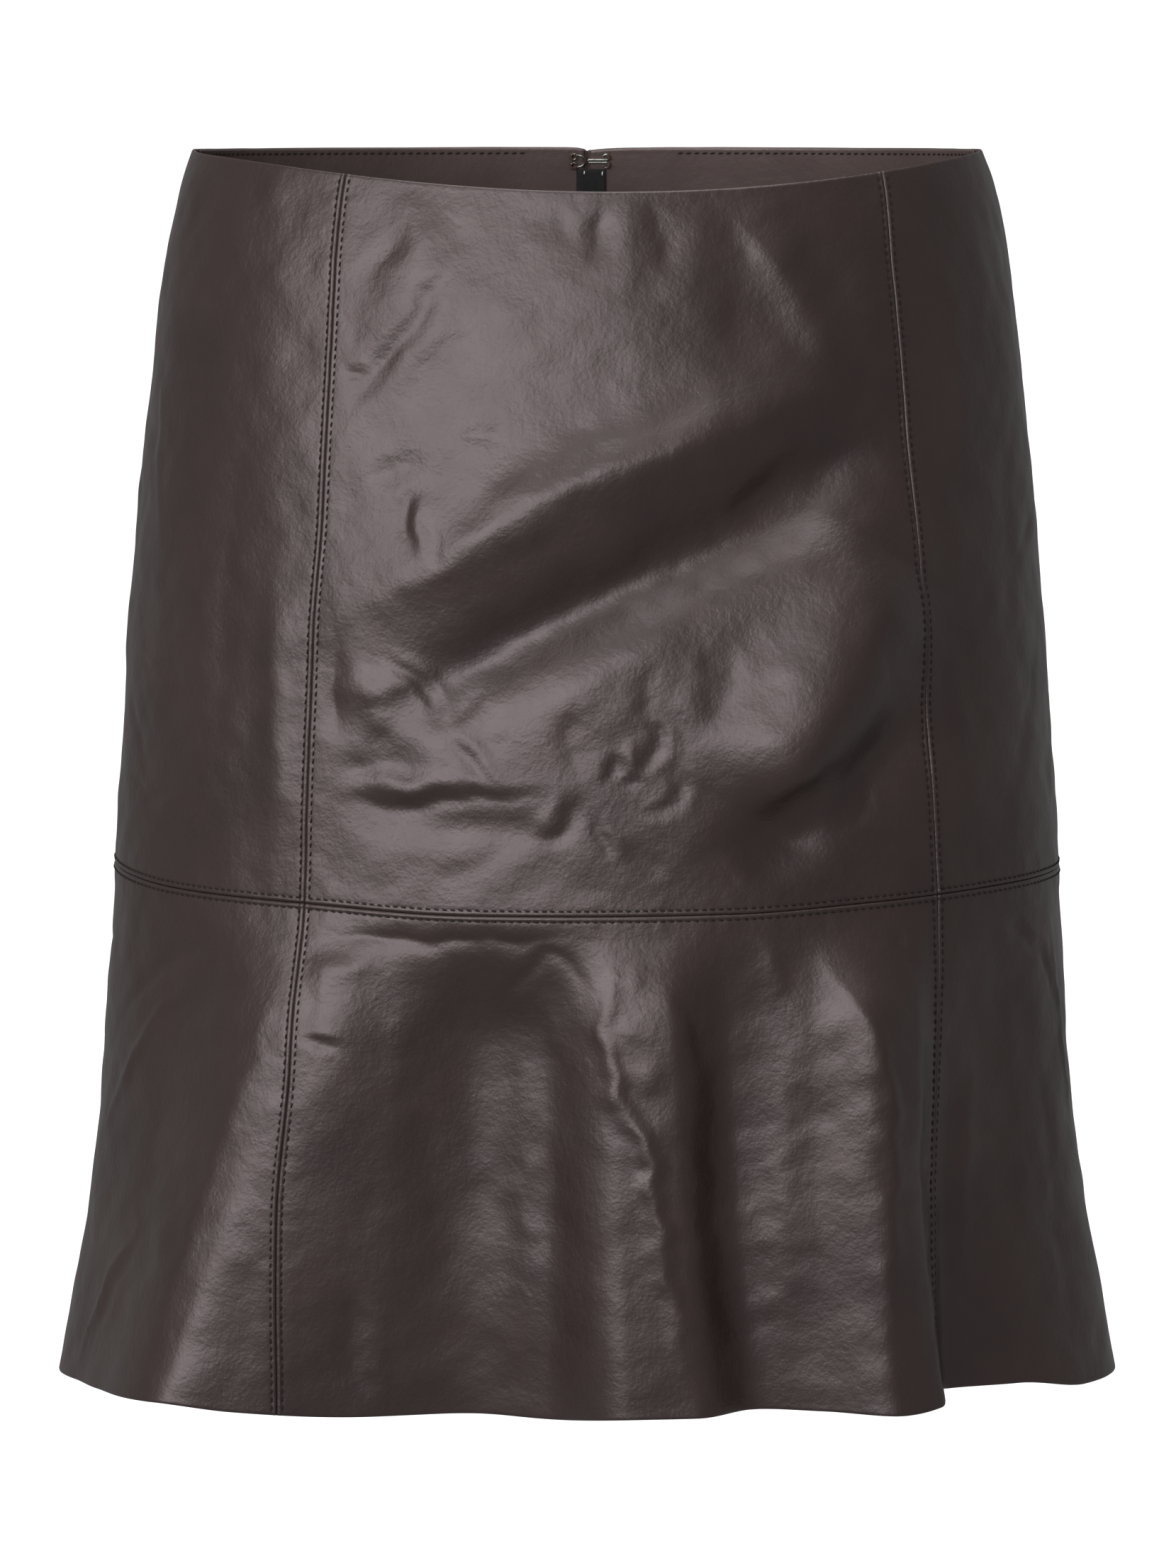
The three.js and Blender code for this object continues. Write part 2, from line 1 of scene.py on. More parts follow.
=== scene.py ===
"""Leather mini skirt with a flounce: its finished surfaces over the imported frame.

Lengths are millimetres and angles degrees until a mesh is made in metres. Angles run round the body:
0 is the middle of the front (-Y), 90 the +X side, 180 the back seam. Heights are z, down from the waist.
"""

import math

import bmesh
import bpy
import numpy as np
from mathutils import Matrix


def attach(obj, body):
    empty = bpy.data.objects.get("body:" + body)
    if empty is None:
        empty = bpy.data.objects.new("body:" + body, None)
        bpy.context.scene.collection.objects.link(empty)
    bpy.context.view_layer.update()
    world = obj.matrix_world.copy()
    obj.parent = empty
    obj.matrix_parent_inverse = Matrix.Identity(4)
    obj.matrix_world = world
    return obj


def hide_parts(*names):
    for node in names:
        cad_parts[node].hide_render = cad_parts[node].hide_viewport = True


MM = 0.001

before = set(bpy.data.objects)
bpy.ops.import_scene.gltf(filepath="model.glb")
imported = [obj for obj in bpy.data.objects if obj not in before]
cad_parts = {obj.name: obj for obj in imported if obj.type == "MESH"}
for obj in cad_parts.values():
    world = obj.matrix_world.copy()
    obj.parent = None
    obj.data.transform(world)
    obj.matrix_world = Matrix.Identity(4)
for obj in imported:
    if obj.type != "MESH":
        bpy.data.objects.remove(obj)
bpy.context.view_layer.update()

# Cloth, as the frame has it
WALL = 1.15
SEAM_HALF_GAP = 0.08
FACING_INSET = 1.5
FACING_WALL = 0.9
FACING_DEPTH = 45
FACING_BELOW_EDGE = 0.4
FACING_BACK_EDGE = 1.0
HEM_LEVEL = -443.5
FLOUNCE_LEVEL = -262.0
SIDE_SEAM = 98
FRONT_DIP = {"depth": 8.2, "centre": 5, "rate": 1.2}
BACK_DIP = 6.4
BACK_NOTCH = {"depth": 1.4, "left": 1.8, "right": 8}
WAVE_GROWTH = 1.3
NEAR_SEAM_PEAK = 0.25
FOLD_FADE_AT_SEAM = 16
FOLD_FADE_AT_ZIP = (18, 42)
FOLD_GIRTH = 150

# Height against angle of the two princess seams, and angle against height of the flounce seam
LEFT_PRINCESS = [(0, -37.0), (-60, -36.0), (-120, -35.8), (-170, -36.3), (-262, -36.1), (-320, -35.6),
                 (-370, -36.5), (-445, -35.6)]
RIGHT_PRINCESS = [(0, 47.5), (-40, 45.8), (-100, 46.0), (-262, 47.2), (-350, 46.6), (-445, 43.8)]
FLOUNCE_SEAM = [(-180, -260.5), (-135, -259.6), (-90, -258.0), (-60, -261.1), (-36, -262.4),
                (-15, -264.7), (18, -264.3), (36, -262.2), (62, -260.0), (90, -259.4), (135, -260.0),
                (180, -260.5)]

# Height, half width, and depth before and behind the side line
SECTIONS = [
    (8, 139.4, 96.0, 97.5), (0, 142.3, 98.0, 100.0), (-14, 147.0, 101.5, 104.0),
    (-36, 151.7, 107.0, 110.5), (-62, 155.2, 112.0, 118.0), (-100, 159.2, 118.0, 127.5),
    (-150, 163.4, 123.5, 135.0), (-205, 167.5, 127.0, 138.0), (-262, 171.1, 128.5, 138.0),
    (-310, 173.4, 132.0, 140.0), (-350, 176.4, 135.5, 142.5), (-385, 181.1, 138.8, 145.5),
    (-415, 186.6, 141.2, 148.0), (-450, 193.2, 143.5, 151.0),
]

# Waves of the flounce: angle at the seam, angle at the hem, how far out at the hem, how much farther
# near the seam, how much the hem lifts
WAVES = [
    (-180, -180, 3, 0, 0.3), (-166, -167, -16, -3, 0.9), (-152, -151, 15, 3, -0.6), (-137, -135, -14, -3, 0.7),
    (-120, -119, 13, 3, -0.3), (-105, -104, -9, -1, 0.8), (-90, -90, 0, 0, 0), (-76, -76, -1, 0, 0.6),
    (-60, -64, 5, -2, 1.3), (-36, -47, 22, 6, 2.8), (-31, -40, 8, 7.5, -0.4), (-23, -28, -20, 1, -3.4),
    (-12, -14, -38, -11, -2.9), (-6, -5, -30, -8.5, -3.4), (3, 4.5, -4, 4, -0.3), (9, 12, -4, 6, -0.1),
    (17, 20, -20, -3.5, 0.5), (27, 27.5, -10, 3, 0.0), (34, 35, 6, 12, -1.0), (41, 41, 3, 7, 0.7),
    (46, 45, -15, 2, 4.4), (51, 49.5, -24, 0, 2.5), (60, 61, -15, -4, 2.6), (74, 75, -6, -2, -1.1),
    (90, 90, 0, 0, 0), (105, 106, -11, -1, 1.0), (121, 122, 13, 3, -0.4), (136, 137, -14, -3, 1.2),
    (151, 151, 13, 3, -0.2), (167, 166, -12, -2, 0.6), (180, 180, 3, 0, 0.3),
]

# Largest folds of the body, from one point to another: side to side and up, half width, how far out
FRONT_FOLDS = [
    (-84, -152, 96, -62, 15, 3.6), (-74, -192, 102, -98, 15, -8.2), (58, -230, 108, -138, 24, 13.0),
    (-84, -230, -16, -234, 8, -2.0), (54, -250, 118, -196, 12, -7.0), (62, -20, 88, -72, 9, 1.8),
    (-108, -150, -110, -246, 9, 1.2),
]
BACK_FOLDS = [
    (-84, -150, 30, -196, 14, -2.2), (88, -140, -24, -222, 14, -2.4), (-96, -206, -10, -238, 10, -2.0),
    (96, -200, 34, -240, 10, -2.0),
]

# Creases drawn one by one: the points (angle, height) each runs through, how far it stands out, its half
# width at the start and at the end, and the height of a lip on its left as it runs
BODY_CREASES = [
    # Under the waist, front
    ([(-16.5, -28), (-20.4, -43), (-23.3, -56), (-26.4, -66), (-29.1, -73), (-32.6, -87)], -1.5, 3.4, 4.4, 0.3),
    ([(-34.8, -72), (-32, -72), (-30.0, -74)], -0.8, 1.6, 2.0, 0.3),
    ([(-23.9, -17), (-27.8, -29), (-31.6, -49)], -0.8, 4.5, 6, 0),
    ([(-18.5, -96), (-13.2, -93), (-10.5, -88)], -0.6, 2.4, 2.4, 0),
    ([(-20, -101), (-24, -105), (-30, -109)], -0.9, 5, 6, 0),
    ([(-21.5, -111), (-23.6, -124), (-22.8, -138)], -1.0, 2.2, 2.8, 0.3),
    ([(-18.4, -124), (-19.4, -133), (-19.0, -145)], -0.7, 2.0, 2.4, 0),
    ([(-21.0, -112), (-21.4, -126), (-20.8, -140)], 0.8, 3.0, 3.4, 0),
    ([(2.6, -11), (1.9, -24), (0.2, -37)], -1.5, 3.6, 6.5, 0),
    ([(-3.2, -12), (-3.4, -27)], -0.5, 2.8, 4, 0),
    ([(8.1, -10), (9.8, -20), (11.4, -34)], -0.6, 2.6, 4, 0),
    ([(11.6, -18), (11.0, -38)], -0.45, 3, 4.5, 0),
    ([(15.2, -15), (15.0, -34), (13.6, -56)], 0.5, 5, 8, 0),
    ([(5.8, -9), (5.9, -26), (5.0, -47)], 0.5, 4, 7, 0),
    ([(20.6, -15), (20.8, -38), (18.8, -70)], -0.6, 5, 9, 0),
    ([(22.6, -13), (23.9, -29), (26.8, -40), (30.5, -51), (33.2, -63), (34.6, -76)], 0.8, 3.6, 9, 0),
    ([(31, -22), (35.5, -42), (39.5, -66)], -0.8, 7, 9, 0),
    ([(-23.5, 4), (-24, -40), (-26, -88)], 1.7, 14, 13, 0),
    # The wide band across the front
    ([(-34, -187), (-27, -185), (-18, -178)], 2.6, 9, 8, 0),
    ([(-34, -213), (-27, -213), (-19, -207)], -2.2, 8, 7, 0),
    ([(22, -232), (29, -194), (38, -152)], 2.6, 14, 13, 0),
    ([(-33.4, -160), (-22.7, -147), (-13.9, -134), (-4.7, -114), (10.2, -99), (25.7, -84), (40, -74)],
     3.0, 8, 11, 0),
    ([(-24, -187), (-15.1, -178), (-4.7, -161), (2.3, -152), (15.4, -138), (25.6, -125), (44.5, -98)],
     -3.2, 9, 12, 0),
    ([(18, -131), (22.8, -117), (29.6, -107), (37.7, -102), (43, -101)], -0.8, 6, 6, 0),
    ([(-33.0, -164), (-33.4, -185), (-32.6, -206)], -1.1, 4, 5, 0),
    ([(-26.5, -171), (-21.6, -183), (-19.4, -192), (-17.6, -199)], -1.1, 2.8, 2.4, 0.5),
    ([(-17.8, -198), (-15.6, -191), (-12, -182)], -0.8, 2.0, 3.4, 0.2),
    ([(-17.5, -199), (-14.9, -208), (-12.6, -215), (-9.8, -220)], -0.9, 2.2, 2.6, 0.6),
    ([(-12, -186), (-12.6, -200), (-11, -213)], -0.7, 4.5, 5, 0),
    ([(-27, -190), (-26, -203)], 0.8, 5, 5, 0),
    ([(9, -172), (7.6, -184), (6.4, -196)], -0.7, 3.6, 3, 0),
    ([(13.4, -168), (13.2, -186), (12, -202)], 0.7, 4.5, 5, 0),
    ([(19, -166), (17.4, -182), (15.6, -200)], -0.6, 4, 4.5, 0),
    ([(27, -155), (25.6, -176), (23, -196)], 0.6, 6, 6, 0),
    ([(34, -140), (33, -165), (30, -190)], -0.5, 6, 6, 0),
    # The crumpled part low in the middle
    ([(-34.0, -214), (-24.5, -219), (-16, -217), (-8, -217), (-3.6, -219)], 1.0, 4.6, 3.4, 0),
    ([(-34.0, -224), (-25.7, -226.5), (-18.4, -225), (-13, -222), (-7.9, -222.5), (-4.2, -224)],
     -1.5, 3.8, 2.6, 0),
    ([(-2.6, -219), (-4.2, -228), (-7.0, -238)], 1.1, 2.0, 3.0, 0),
    ([(0.6, -219), (-2.3, -231), (-5.8, -241)], -1.3, 2.2, 3.2, 0),
    ([(-1.6, -188), (-2.2, -204), (-0.8, -218)], -1.0, 5, 4, 0),
    ([(1.0, -219), (2.6, -214), (3.8, -209), (5.4, -204)], -1.2, 1.9, 2.4, 0.4),
    ([(5.4, -200), (5.6, -208), (5.0, -215)], 1.2, 2.2, 2.8, 0),
    ([(6.6, -194), (8.4, -199), (8.9, -205), (7.6, -211), (5.8, -216)], -1.1, 1.8, 2.0, 0.6),
    ([(2.6, -220), (4.4, -217.4), (7.0, -216.2)], -0.9, 1.5, 1.7, 0.3),
    ([(6.0, -228), (9.4, -226), (11.4, -219), (11.6, -211)], -0.9, 2.0, 2.8, 0.3),
    ([(12.6, -206), (13.4, -216), (11.4, -228)], 0.7, 3.4, 4, 0),
    ([(1.0, -224), (1.5, -235), (2.7, -248)], -1.0, 1.7, 2.2, 0.3),
    ([(4.6, -236), (6.4, -244), (9.6, -252)], -0.7, 3.6, 5, 0),
    ([(-9, -240), (-14, -247), (-22, -250)], -0.6, 4, 6, 0),
    ([(35.4, -203), (27, -221), (18.9, -238), (9.4, -252)], -1.3, 6, 8, 0),
    ([(34, -216), (31.4, -226), (28.0, -237)], 0.9, 3.2, 4.4, 0),
    ([(38.5, -214), (36, -228), (31, -238)], -0.8, 2.8, 3.4, 0),
    ([(37.6, -168), (38.4, -180), (38.8, -192)], -0.7, 2.4, 3, 0),
    ([(42, -236), (37, -246)], -0.6, 3.6, 4, 0),
    # Left side of the front
    ([(-42.0, -128), (-42.6, -170), (-40.6, -215), (-41, -250)], 0.8, 6, 7, 0),
    ([(-51, -96), (-52.5, -150), (-51, -236)], -0.8, 7, 8, 0),
    ([(-75, -74), (-74, -110), (-68, -150)], 0.6, 3.4, 4.4, 0),
    ([(-58, -58), (-61, -92), (-60, -130)], -0.5, 8, 9, 0),
    ([(-78, -180), (-70, -184), (-60, -183)], -0.6, 1.5, 2.0, 0.3),
    ([(-77, -225), (-69, -229), (-59, -227)], -0.6, 1.8, 2.2, 0.3),
    ([(-81, -196), (-74, -208), (-70, -224)], -0.7, 2.6, 3.4, 0),
    ([(-66, -152), (-63, -184), (-58, -218)], -0.6, 6, 7, 0),
    ([(-88, -100), (-90, -150), (-86, -200)], 0.6, 7, 8, 0),
    # Right side of the front
    ([(56, -26), (59, -70), (60, -116)], 0.5, 8, 9, 0),
    ([(70, -50), (69, -130), (65, -205)], -0.6, 9, 10, 0),
    ([(80, -166), (72, -200), (60, -242)], -0.7, 5, 6, 0),
    ([(52, -176), (54, -214), (57, -250)], 0.6, 6, 7, 0),
    ([(84, -122), (78, -136), (70, -146)], -0.5, 2.2, 2.8, 0.2),
    ([(90, -200), (84, -222), (78, -248)], 0.6, 5, 6, 0),
    # Left half of the back
    ([(-160, -34), (-154, -58), (-145, -90)], -1.3, 4, 5.5, 0),
    ([(-168, -16), (-165, -32), (-160, -44)], -0.9, 3, 4, 0),
    ([(-150, -14), (-149, -34), (-146, -58)], 0.9, 5, 7, 0),
    ([(-132, -18), (-130, -46), (-126, -78)], -0.7, 6, 8, 0),
    ([(-120, -112), (-140, -126), (-158, -142), (-172, -152)], 1.3, 9, 8, 0),
    ([(-118, -150), (-138, -160), (-156, -172), (-172, -182)], -1.5, 10, 8, 0),
    ([(-112, -208), (-126, -218), (-140, -220), (-152, -216)], -1.7, 3.4, 3.0, 0.5),
    ([(-114, -200), (-128, -210), (-142, -211)], 1.2, 4, 4, 0),
    ([(-150, -198), (-154, -206), (-151, -214)], -1.1, 2.0, 2.2, 0.5),
    ([(-158, -192), (-161, -204), (-158, -216), (-162, -228)], -1.0, 2.6, 3.0, 0.4),
    ([(-166, -206), (-170, -222), (-168, -240)], -0.8, 3.4, 4.4, 0),
    ([(-136, -236), (-148, -242), (-160, -240)], -0.8, 4, 5, 0),
    ([(-106, -60), (-110, -120), (-107, -188)], 0.7, 8, 9, 0),
    ([(-118, -76), (-121, -110), (-118, -140)], -0.6, 6, 7, 0),
    # Right half of the back
    ([(162, -30), (156, -56), (146, -86)], -1.2, 4, 6, 0),
    ([(170, -15), (168, -30), (164, -46)], -0.8, 3, 4, 0),
    ([(152, -14), (150, -40), (147, -62)], 0.9, 5, 7, 0),
    ([(136, -16), (133, -44), (130, -70)], -0.8, 6, 7, 0),
    ([(122, -100), (140, -116), (158, -138), (172, -150)], 1.2, 8, 9, 0),
    ([(116, -128), (136, -152), (154, -172), (170, -190)], -1.6, 9, 9, 0),
    ([(112, -196), (124, -208), (138, -212)], -1.4, 3.6, 3.2, 0.4),
    ([(150, -204), (156, -214), (152, -224), (158, -236)], -1.1, 2.2, 2.6, 0.5),
    ([(160, -196), (164, -206), (170, -212)], -0.9, 2.6, 3.0, 0.3),
    ([(166, -222), (160, -232), (150, -244)], -1.0, 3.0, 4.0, 0.3),
    ([(140, -232), (130, -242), (118, -248)], -0.8, 4, 5, 0),
    ([(106, -84), (109, -150), (106, -220)], -0.7, 7, 8, 0),
    ([(118, -60), (120, -92), (118, -120)], 0.6, 7, 8, 0),
]
# Small gathers at the front waist edge: angle, height where each starts and ends
GATHERS = [(11.2, -9, -14), (12.4, -9, -16), (13.5, -9, -15), (14.6, -9, -17), (15.9, -9, -15),
           (17.2, -8.8, -16), (-1.5, -9, -13), (6.6, -9.4, -14), (9.0, -9.4, -15)]
GATHER_SHAPE = (-0.45, 1.1, 1.6, 0)

FLOUNCE_CREASES = [
    # Left side
    ([(-46.0, -275), (-56, -283), (-64.7, -293), (-73, -306), (-78.5, -320)], -1.0, 2.6, 3.4, 0),
    ([(-53.0, -288), (-62.3, -306), (-68.1, -321), (-75.6, -339), (-82.6, -358)], 1.2, 2.2, 2.8, 0),
    ([(-59.6, -380), (-65.1, -394), (-68.9, -405), (-70.7, -417), (-73.1, -427), (-76.2, -443)],
     1.0, 1.6, 2.0, 0),
    ([(-57.6, -382), (-63.2, -396), (-66.8, -408), (-69, -421), (-71.4, -440)], -0.7, 2.2, 2.6, 0),
    ([(-39.5, -290), (-40.4, -318), (-44.5, -348), (-47, -380), (-49.3, -412), (-51.6, -444)],
     1.2, 5, 6, 0),
    ([(-88, -290), (-92, -330), (-95, -370)], 0.8, 4, 5, 0),
    ([(-84, -274), (-90, -284), (-96, -300)], -0.7, 2.4, 3, 0),
    # Middle
    ([(-36.0, -271), (-23.2, -274), (-10.8, -273.5), (2, -271.5)], -1.3, 3.2, 3.2, 0),
    ([(-35, -283), (-30, -284), (-25, -285)], 1.2, 5, 5, 0),
    ([(-35, -309), (-31.5, -312), (-29, -312.5)], -1.1, 1.8, 2.0, 0.7),
    ([(-35.4, -284), (-33.8, -294), (-34.4, -306)], -0.6, 2.4, 3.0, 0),
    ([(-28.8, -394), (-28.4, -420), (-27.2, -446)], -0.9, 3.0, 4.4, 0.5),
    ([(-21, -300), (-20, -350), (-18, -400)], -0.6, 6, 8, 0),
    ([(-8.2, -286), (-7.8, -340), (-7.4, -440)], 1.0, 6, 7, 0),
    ([(-10, -298), (-7.4, -285), (-4.5, -278.5), (-1.6, -284), (0.2, -296)], -1.0, 2.6, 2.6, 0),
    ([(-6.0, -291), (-4.4, -300), (-4.2, -316)], 0.7, 4, 6, 0),
    ([(1.3, -273), (3.2, -284), (2.1, -299), (2.5, -314), (4.0, -331), (6.4, -343), (7.6, -366),
      (9.0, -392), (10.5, -418), (11.0, -441)], 2.3, 2.8, 4.0, 0),
    ([(7.2, -314), (7.2, -328)], 0.6, 3.8, 3.8, 0),
    ([(5.8, -282), (5.6, -293)], 0.5, 3.8, 3.8, 0),
    ([(5.5, -302), (5.2, -310)], 0.4, 3.4, 3.4, 0),
    ([(3.4, -328), (4.6, -335), (6.2, -342)], -0.7, 1.7, 2.0, 0.3),
    ([(4.6, -343), (6.0, -357), (7.4, -376)], -0.7, 2.2, 2.8, 0),
    ([(10.4, -286), (12.6, -302), (14.6, -322)], -1.2, 3.4, 5, 0),
    ([(15.6, -300), (15.6, -360), (17.4, -440)], -2.0, 7, 9, 0),
    ([(21.5, -272), (23, -284), (22.4, -298)], 0.9, 3.6, 4.4, 0),
    ([(24.8, -306), (23.8, -370), (23.4, -444)], 1.4, 5, 6, 0),
    ([(24.6, -280), (29.6, -285), (32.7, -299), (35.1, -317), (35.8, -336), (35.7, -362),
      (35.0, -390), (33.8, -444)], 1.8, 3.0, 4.6, 0),
    ([(30, -296), (30.6, -320), (29.8, -360)], -0.9, 4.4, 6, 0),
    ([(38, -270), (40.4, -278), (41.6, -292)], -0.9, 2.6, 3.6, 0),
    ([(43.8, -310), (42.4, -366), (40.6, -436)], -1.3, 5, 6, 0),
    # Right side
    ([(55.6, -318), (53.6, -362), (51.6, -420)], 1.1, 5, 6, 0),
    ([(57.5, -269), (63.8, -275), (71.1, -284), (76.5, -294), (80, -311)], -0.9, 2.0, 2.4, 0.4),
    ([(76, -274), (79.6, -294), (82.2, -317), (84.8, -358)], 0.9, 1.9, 2.4, 0),
    ([(64, -290), (66, -330), (68, -390)], 0.8, 6, 8, 0),
    ([(72, -320), (74, -360), (74, -430)], -0.7, 5, 7, 0),
    # Back
    ([(-104, -280), (-112, -292), (-118, -312)], 0.9, 3, 4, 0),
    ([(-104, -272), (-122, -275), (-140, -272)], -1.0, 3.0, 3.2, 0),
    ([(-120, -300), (-120, -360), (-119, -440)], 1.2, 5, 6, 0),
    ([(-138, -290), (-136, -350), (-134, -436)], -1.2, 6, 7, 0),
    ([(-150, -272), (-153, -290), (-151, -310), (-153, -340), (-152, -380), (-150, -440)], 1.5, 3, 4.4, 0),
    ([(-146, -312), (-149, -322), (-153, -330)], -0.9, 1.7, 2.0, 0.4),
    ([(-167, -280), (-167, -340), (-168, -430)], -1.3, 6, 7, 0),
    ([(-172, -272), (-176, -282), (-177, -300)], 0.8, 3, 4, 0),
    ([(104, -272), (120, -275), (134, -272)], -1.0, 3.0, 3.2, 0),
    ([(118, -284), (121, -310), (122, -360), (122, -440)], 1.4, 3.6, 5, 0),
    ([(127, -290), (130, -304), (128, -322)], -0.8, 2.2, 3, 0.3),
    ([(136, -300), (137, -360), (137, -436)], -1.2, 6, 7, 0),
    ([(148, -274), (151, -292), (150, -316), (151, -360), (152, -440)], 1.5, 3, 4.4, 0),
    ([(156, -304), (153, -316), (149, -324)], -0.9, 1.7, 2.0, 0.4),
    ([(166, -286), (167, -350), (166, -436)], -1.2, 5, 6, 0),
    ([(172, -276), (175, -290), (176, -320)], 0.8, 3, 4, 0),
]

# Slow unevenness of the skin: wavelength, direction, phase, height
SWELLS = [(71, 20, 0.3, 0.26), (57, 75, 1.9, 0.20), (44, -40, 4.1, 0.11), (33, 10, 2.2, 0.05),
          (26, 62, 5.0, 0.025), (19, -72, 0.9, 0.012)]
# Soft lumps of the hide, as many crossing waves of random length and direction
LUMPS = {"count": 26, "shortest": 11, "longest": 27, "height": 0.027, "seed": 3}

# Seams, pressed open and stitched on both sides
STITCH_FROM_SEAM = 1.95
STITCH_PITCH = 3.0
STITCH_LENGTH = 1.95
STITCH_RADIUS = 0.31
STITCH_SLANT = 0.14
ALLOWANCE = 9.4
EDGE_TURN = {"depth": 0.42, "reach": 0.6}
STRIP = {"height": 0.24, "at": 1.05, "width": 0.55}
STITCH_BED = {"depth": 0.10, "width": 0.42}
PLATEAU = {"height": 0.06, "edge": 3.4}
PUCKERS = [(7.3, 0.4, 0.035), (11.9, 2.1, 0.05), (5.2, 4.4, 0.02), (21.0, 1.0, 0.06)]

# Distances from an edge at which the mesh has lines
NEAR_SEAM = [0.03, 0.16, 0.4, 0.65, 0.95, 1.3, 1.65, 1.95, 2.3, 2.8, 3.7, 5.2, 7.0, 8.2, 9.0, 9.8, 10.8]
SEAM_MEETS = 0.02
CUT_COLUMNS = 200
CUT_ROWS = 24
NEAR_OPEN = [0.0, 0.1, 0.3, 0.6, 1.0, 1.6, 2.6, 3.8, 5.0]
GRID_STEP = 1.75
INNER_EVERY = 3


def curve_through(points):
    """Monotone cubic through (x, y) points, so that nothing bulges past a stated size."""
    points = sorted(points)
    x = np.array([p[0] for p in points], float)
    y = np.array([p[1] for p in points], float)
    h = np.diff(x)
    slope = np.diff(y) / h
    tangent = np.zeros(len(x))
    tangent[0], tangent[-1] = slope[0], slope[-1]
    for i in range(1, len(x) - 1):
        if slope[i - 1] * slope[i] > 0:
            w0, w1 = 2 * h[i] + h[i - 1], h[i] + 2 * h[i - 1]
            tangent[i] = (w0 + w1) / (w0 / slope[i - 1] + w1 / slope[i])

    def at(place):
        place = np.clip(place, x[0], x[-1])
        i = np.clip(np.searchsorted(x, place, side="right") - 1, 0, len(x) - 2)
        t = (place - x[i]) / h[i]
        s = 1 - t
        rise = h[i] * (tangent[i] * t * s * s - tangent[i + 1] * t * t * s)
        return y[i] * (1 + 2 * t) * s * s + y[i + 1] * t * t * (3 - 2 * t) + rise

    return at


def smooth(t):
    t = np.clip(t, 0, 1)
    return t * t * (3 - 2 * t)


def mix(a, b, t):
    return a + (b - a) * t


def wrapped(phi):
    return phi - 360 * np.round(phi / 360)


half_width = curve_through([(row[0], row[1]) for row in SECTIONS])
front_depth = curve_through([(row[0], row[2]) for row in SECTIONS])
back_depth = curve_through([(row[0], row[3]) for row in SECTIONS])
flounce_seam = curve_through(FLOUNCE_SEAM)
left_princess = curve_through(LEFT_PRINCESS)
right_princess = curve_through(RIGHT_PRINCESS)
hem_lift = curve_through([(row[1], row[4]) for row in WAVES])


def seam_level(phi):
    return flounce_seam(wrapped(phi))


def hem_height(phi):
    return HEM_LEVEL + hem_lift(wrapped(phi))


def waist_edge(phi):
    turn = wrapped(phi)
    from_front = np.abs(FRONT_DIP["rate"] * (turn - FRONT_DIP["centre"]))
    dip = FRONT_DIP["depth"] * np.cos(np.radians(np.minimum(from_front, 90))) ** 2
    behind = np.abs(turn) > 90
    back = BACK_DIP * np.maximum(0, -np.cos(np.radians(turn)))
    across = -half_width(0) * np.sin(np.radians(turn))
    reach = np.where(across > 0, BACK_NOTCH["left"], BACK_NOTCH["right"])
    notch = np.where(behind, BACK_NOTCH["depth"] * np.exp(-np.abs(across) / reach), 0)
    return -dip - back - notch


def base_point(phi, z):
    angle = np.radians(phi)
    depth = np.where(np.cos(angle) > 0, front_depth(z), back_depth(z))
    return np.stack([half_width(z) * np.sin(angle), -depth * np.cos(angle), z + 0 * phi], -1)


def level_normal(points_at, phi, z, step=0.2):
    across = points_at(phi + step, z) - points_at(phi - step, z)
    normal = np.stack([across[..., 1], -across[..., 0], 0 * across[..., 0]], -1)
    return normal / np.linalg.norm(normal, axis=-1, keepdims=True)


WAVE_ROWS = 60
WAVE_COLUMNS = 1440


def near_seam(down):
    return smooth(down / NEAR_SEAM_PEAK) * (1 - smooth((down - NEAR_SEAM_PEAK) / (1 - NEAR_SEAM_PEAK)))


def wave_row(down):
    """The waves right round, a share of the way from the seam to the hem."""
    profile = curve_through([(mix(row[0], row[1], down), row[2] * down ** WAVE_GROWTH + row[3] * near_seam(down))
                             for row in WAVES])
    return profile(np.linspace(-180, 180, WAVE_COLUMNS + 1))


wave_table = np.array([wave_row(k / WAVE_ROWS) for k in range(WAVE_ROWS + 1)])


def wave_out(phi, down):
    """How far the flounce's waves stand out at a share of the way from the seam to the hem."""
    column = (wrapped(phi) + 180) / 360 * WAVE_COLUMNS
    row = np.clip(down, 0, 1) * WAVE_ROWS
    i = np.clip(column.astype(int), 0, WAVE_COLUMNS - 1)
    j = np.clip(row.astype(int), 0, WAVE_ROWS - 1)
    u, v = column - i, row - j
    upper = mix(wave_table[j, i], wave_table[j, i + 1], u)
    lower = mix(wave_table[j + 1, i], wave_table[j + 1, i + 1], u)
    return mix(upper, lower, v)


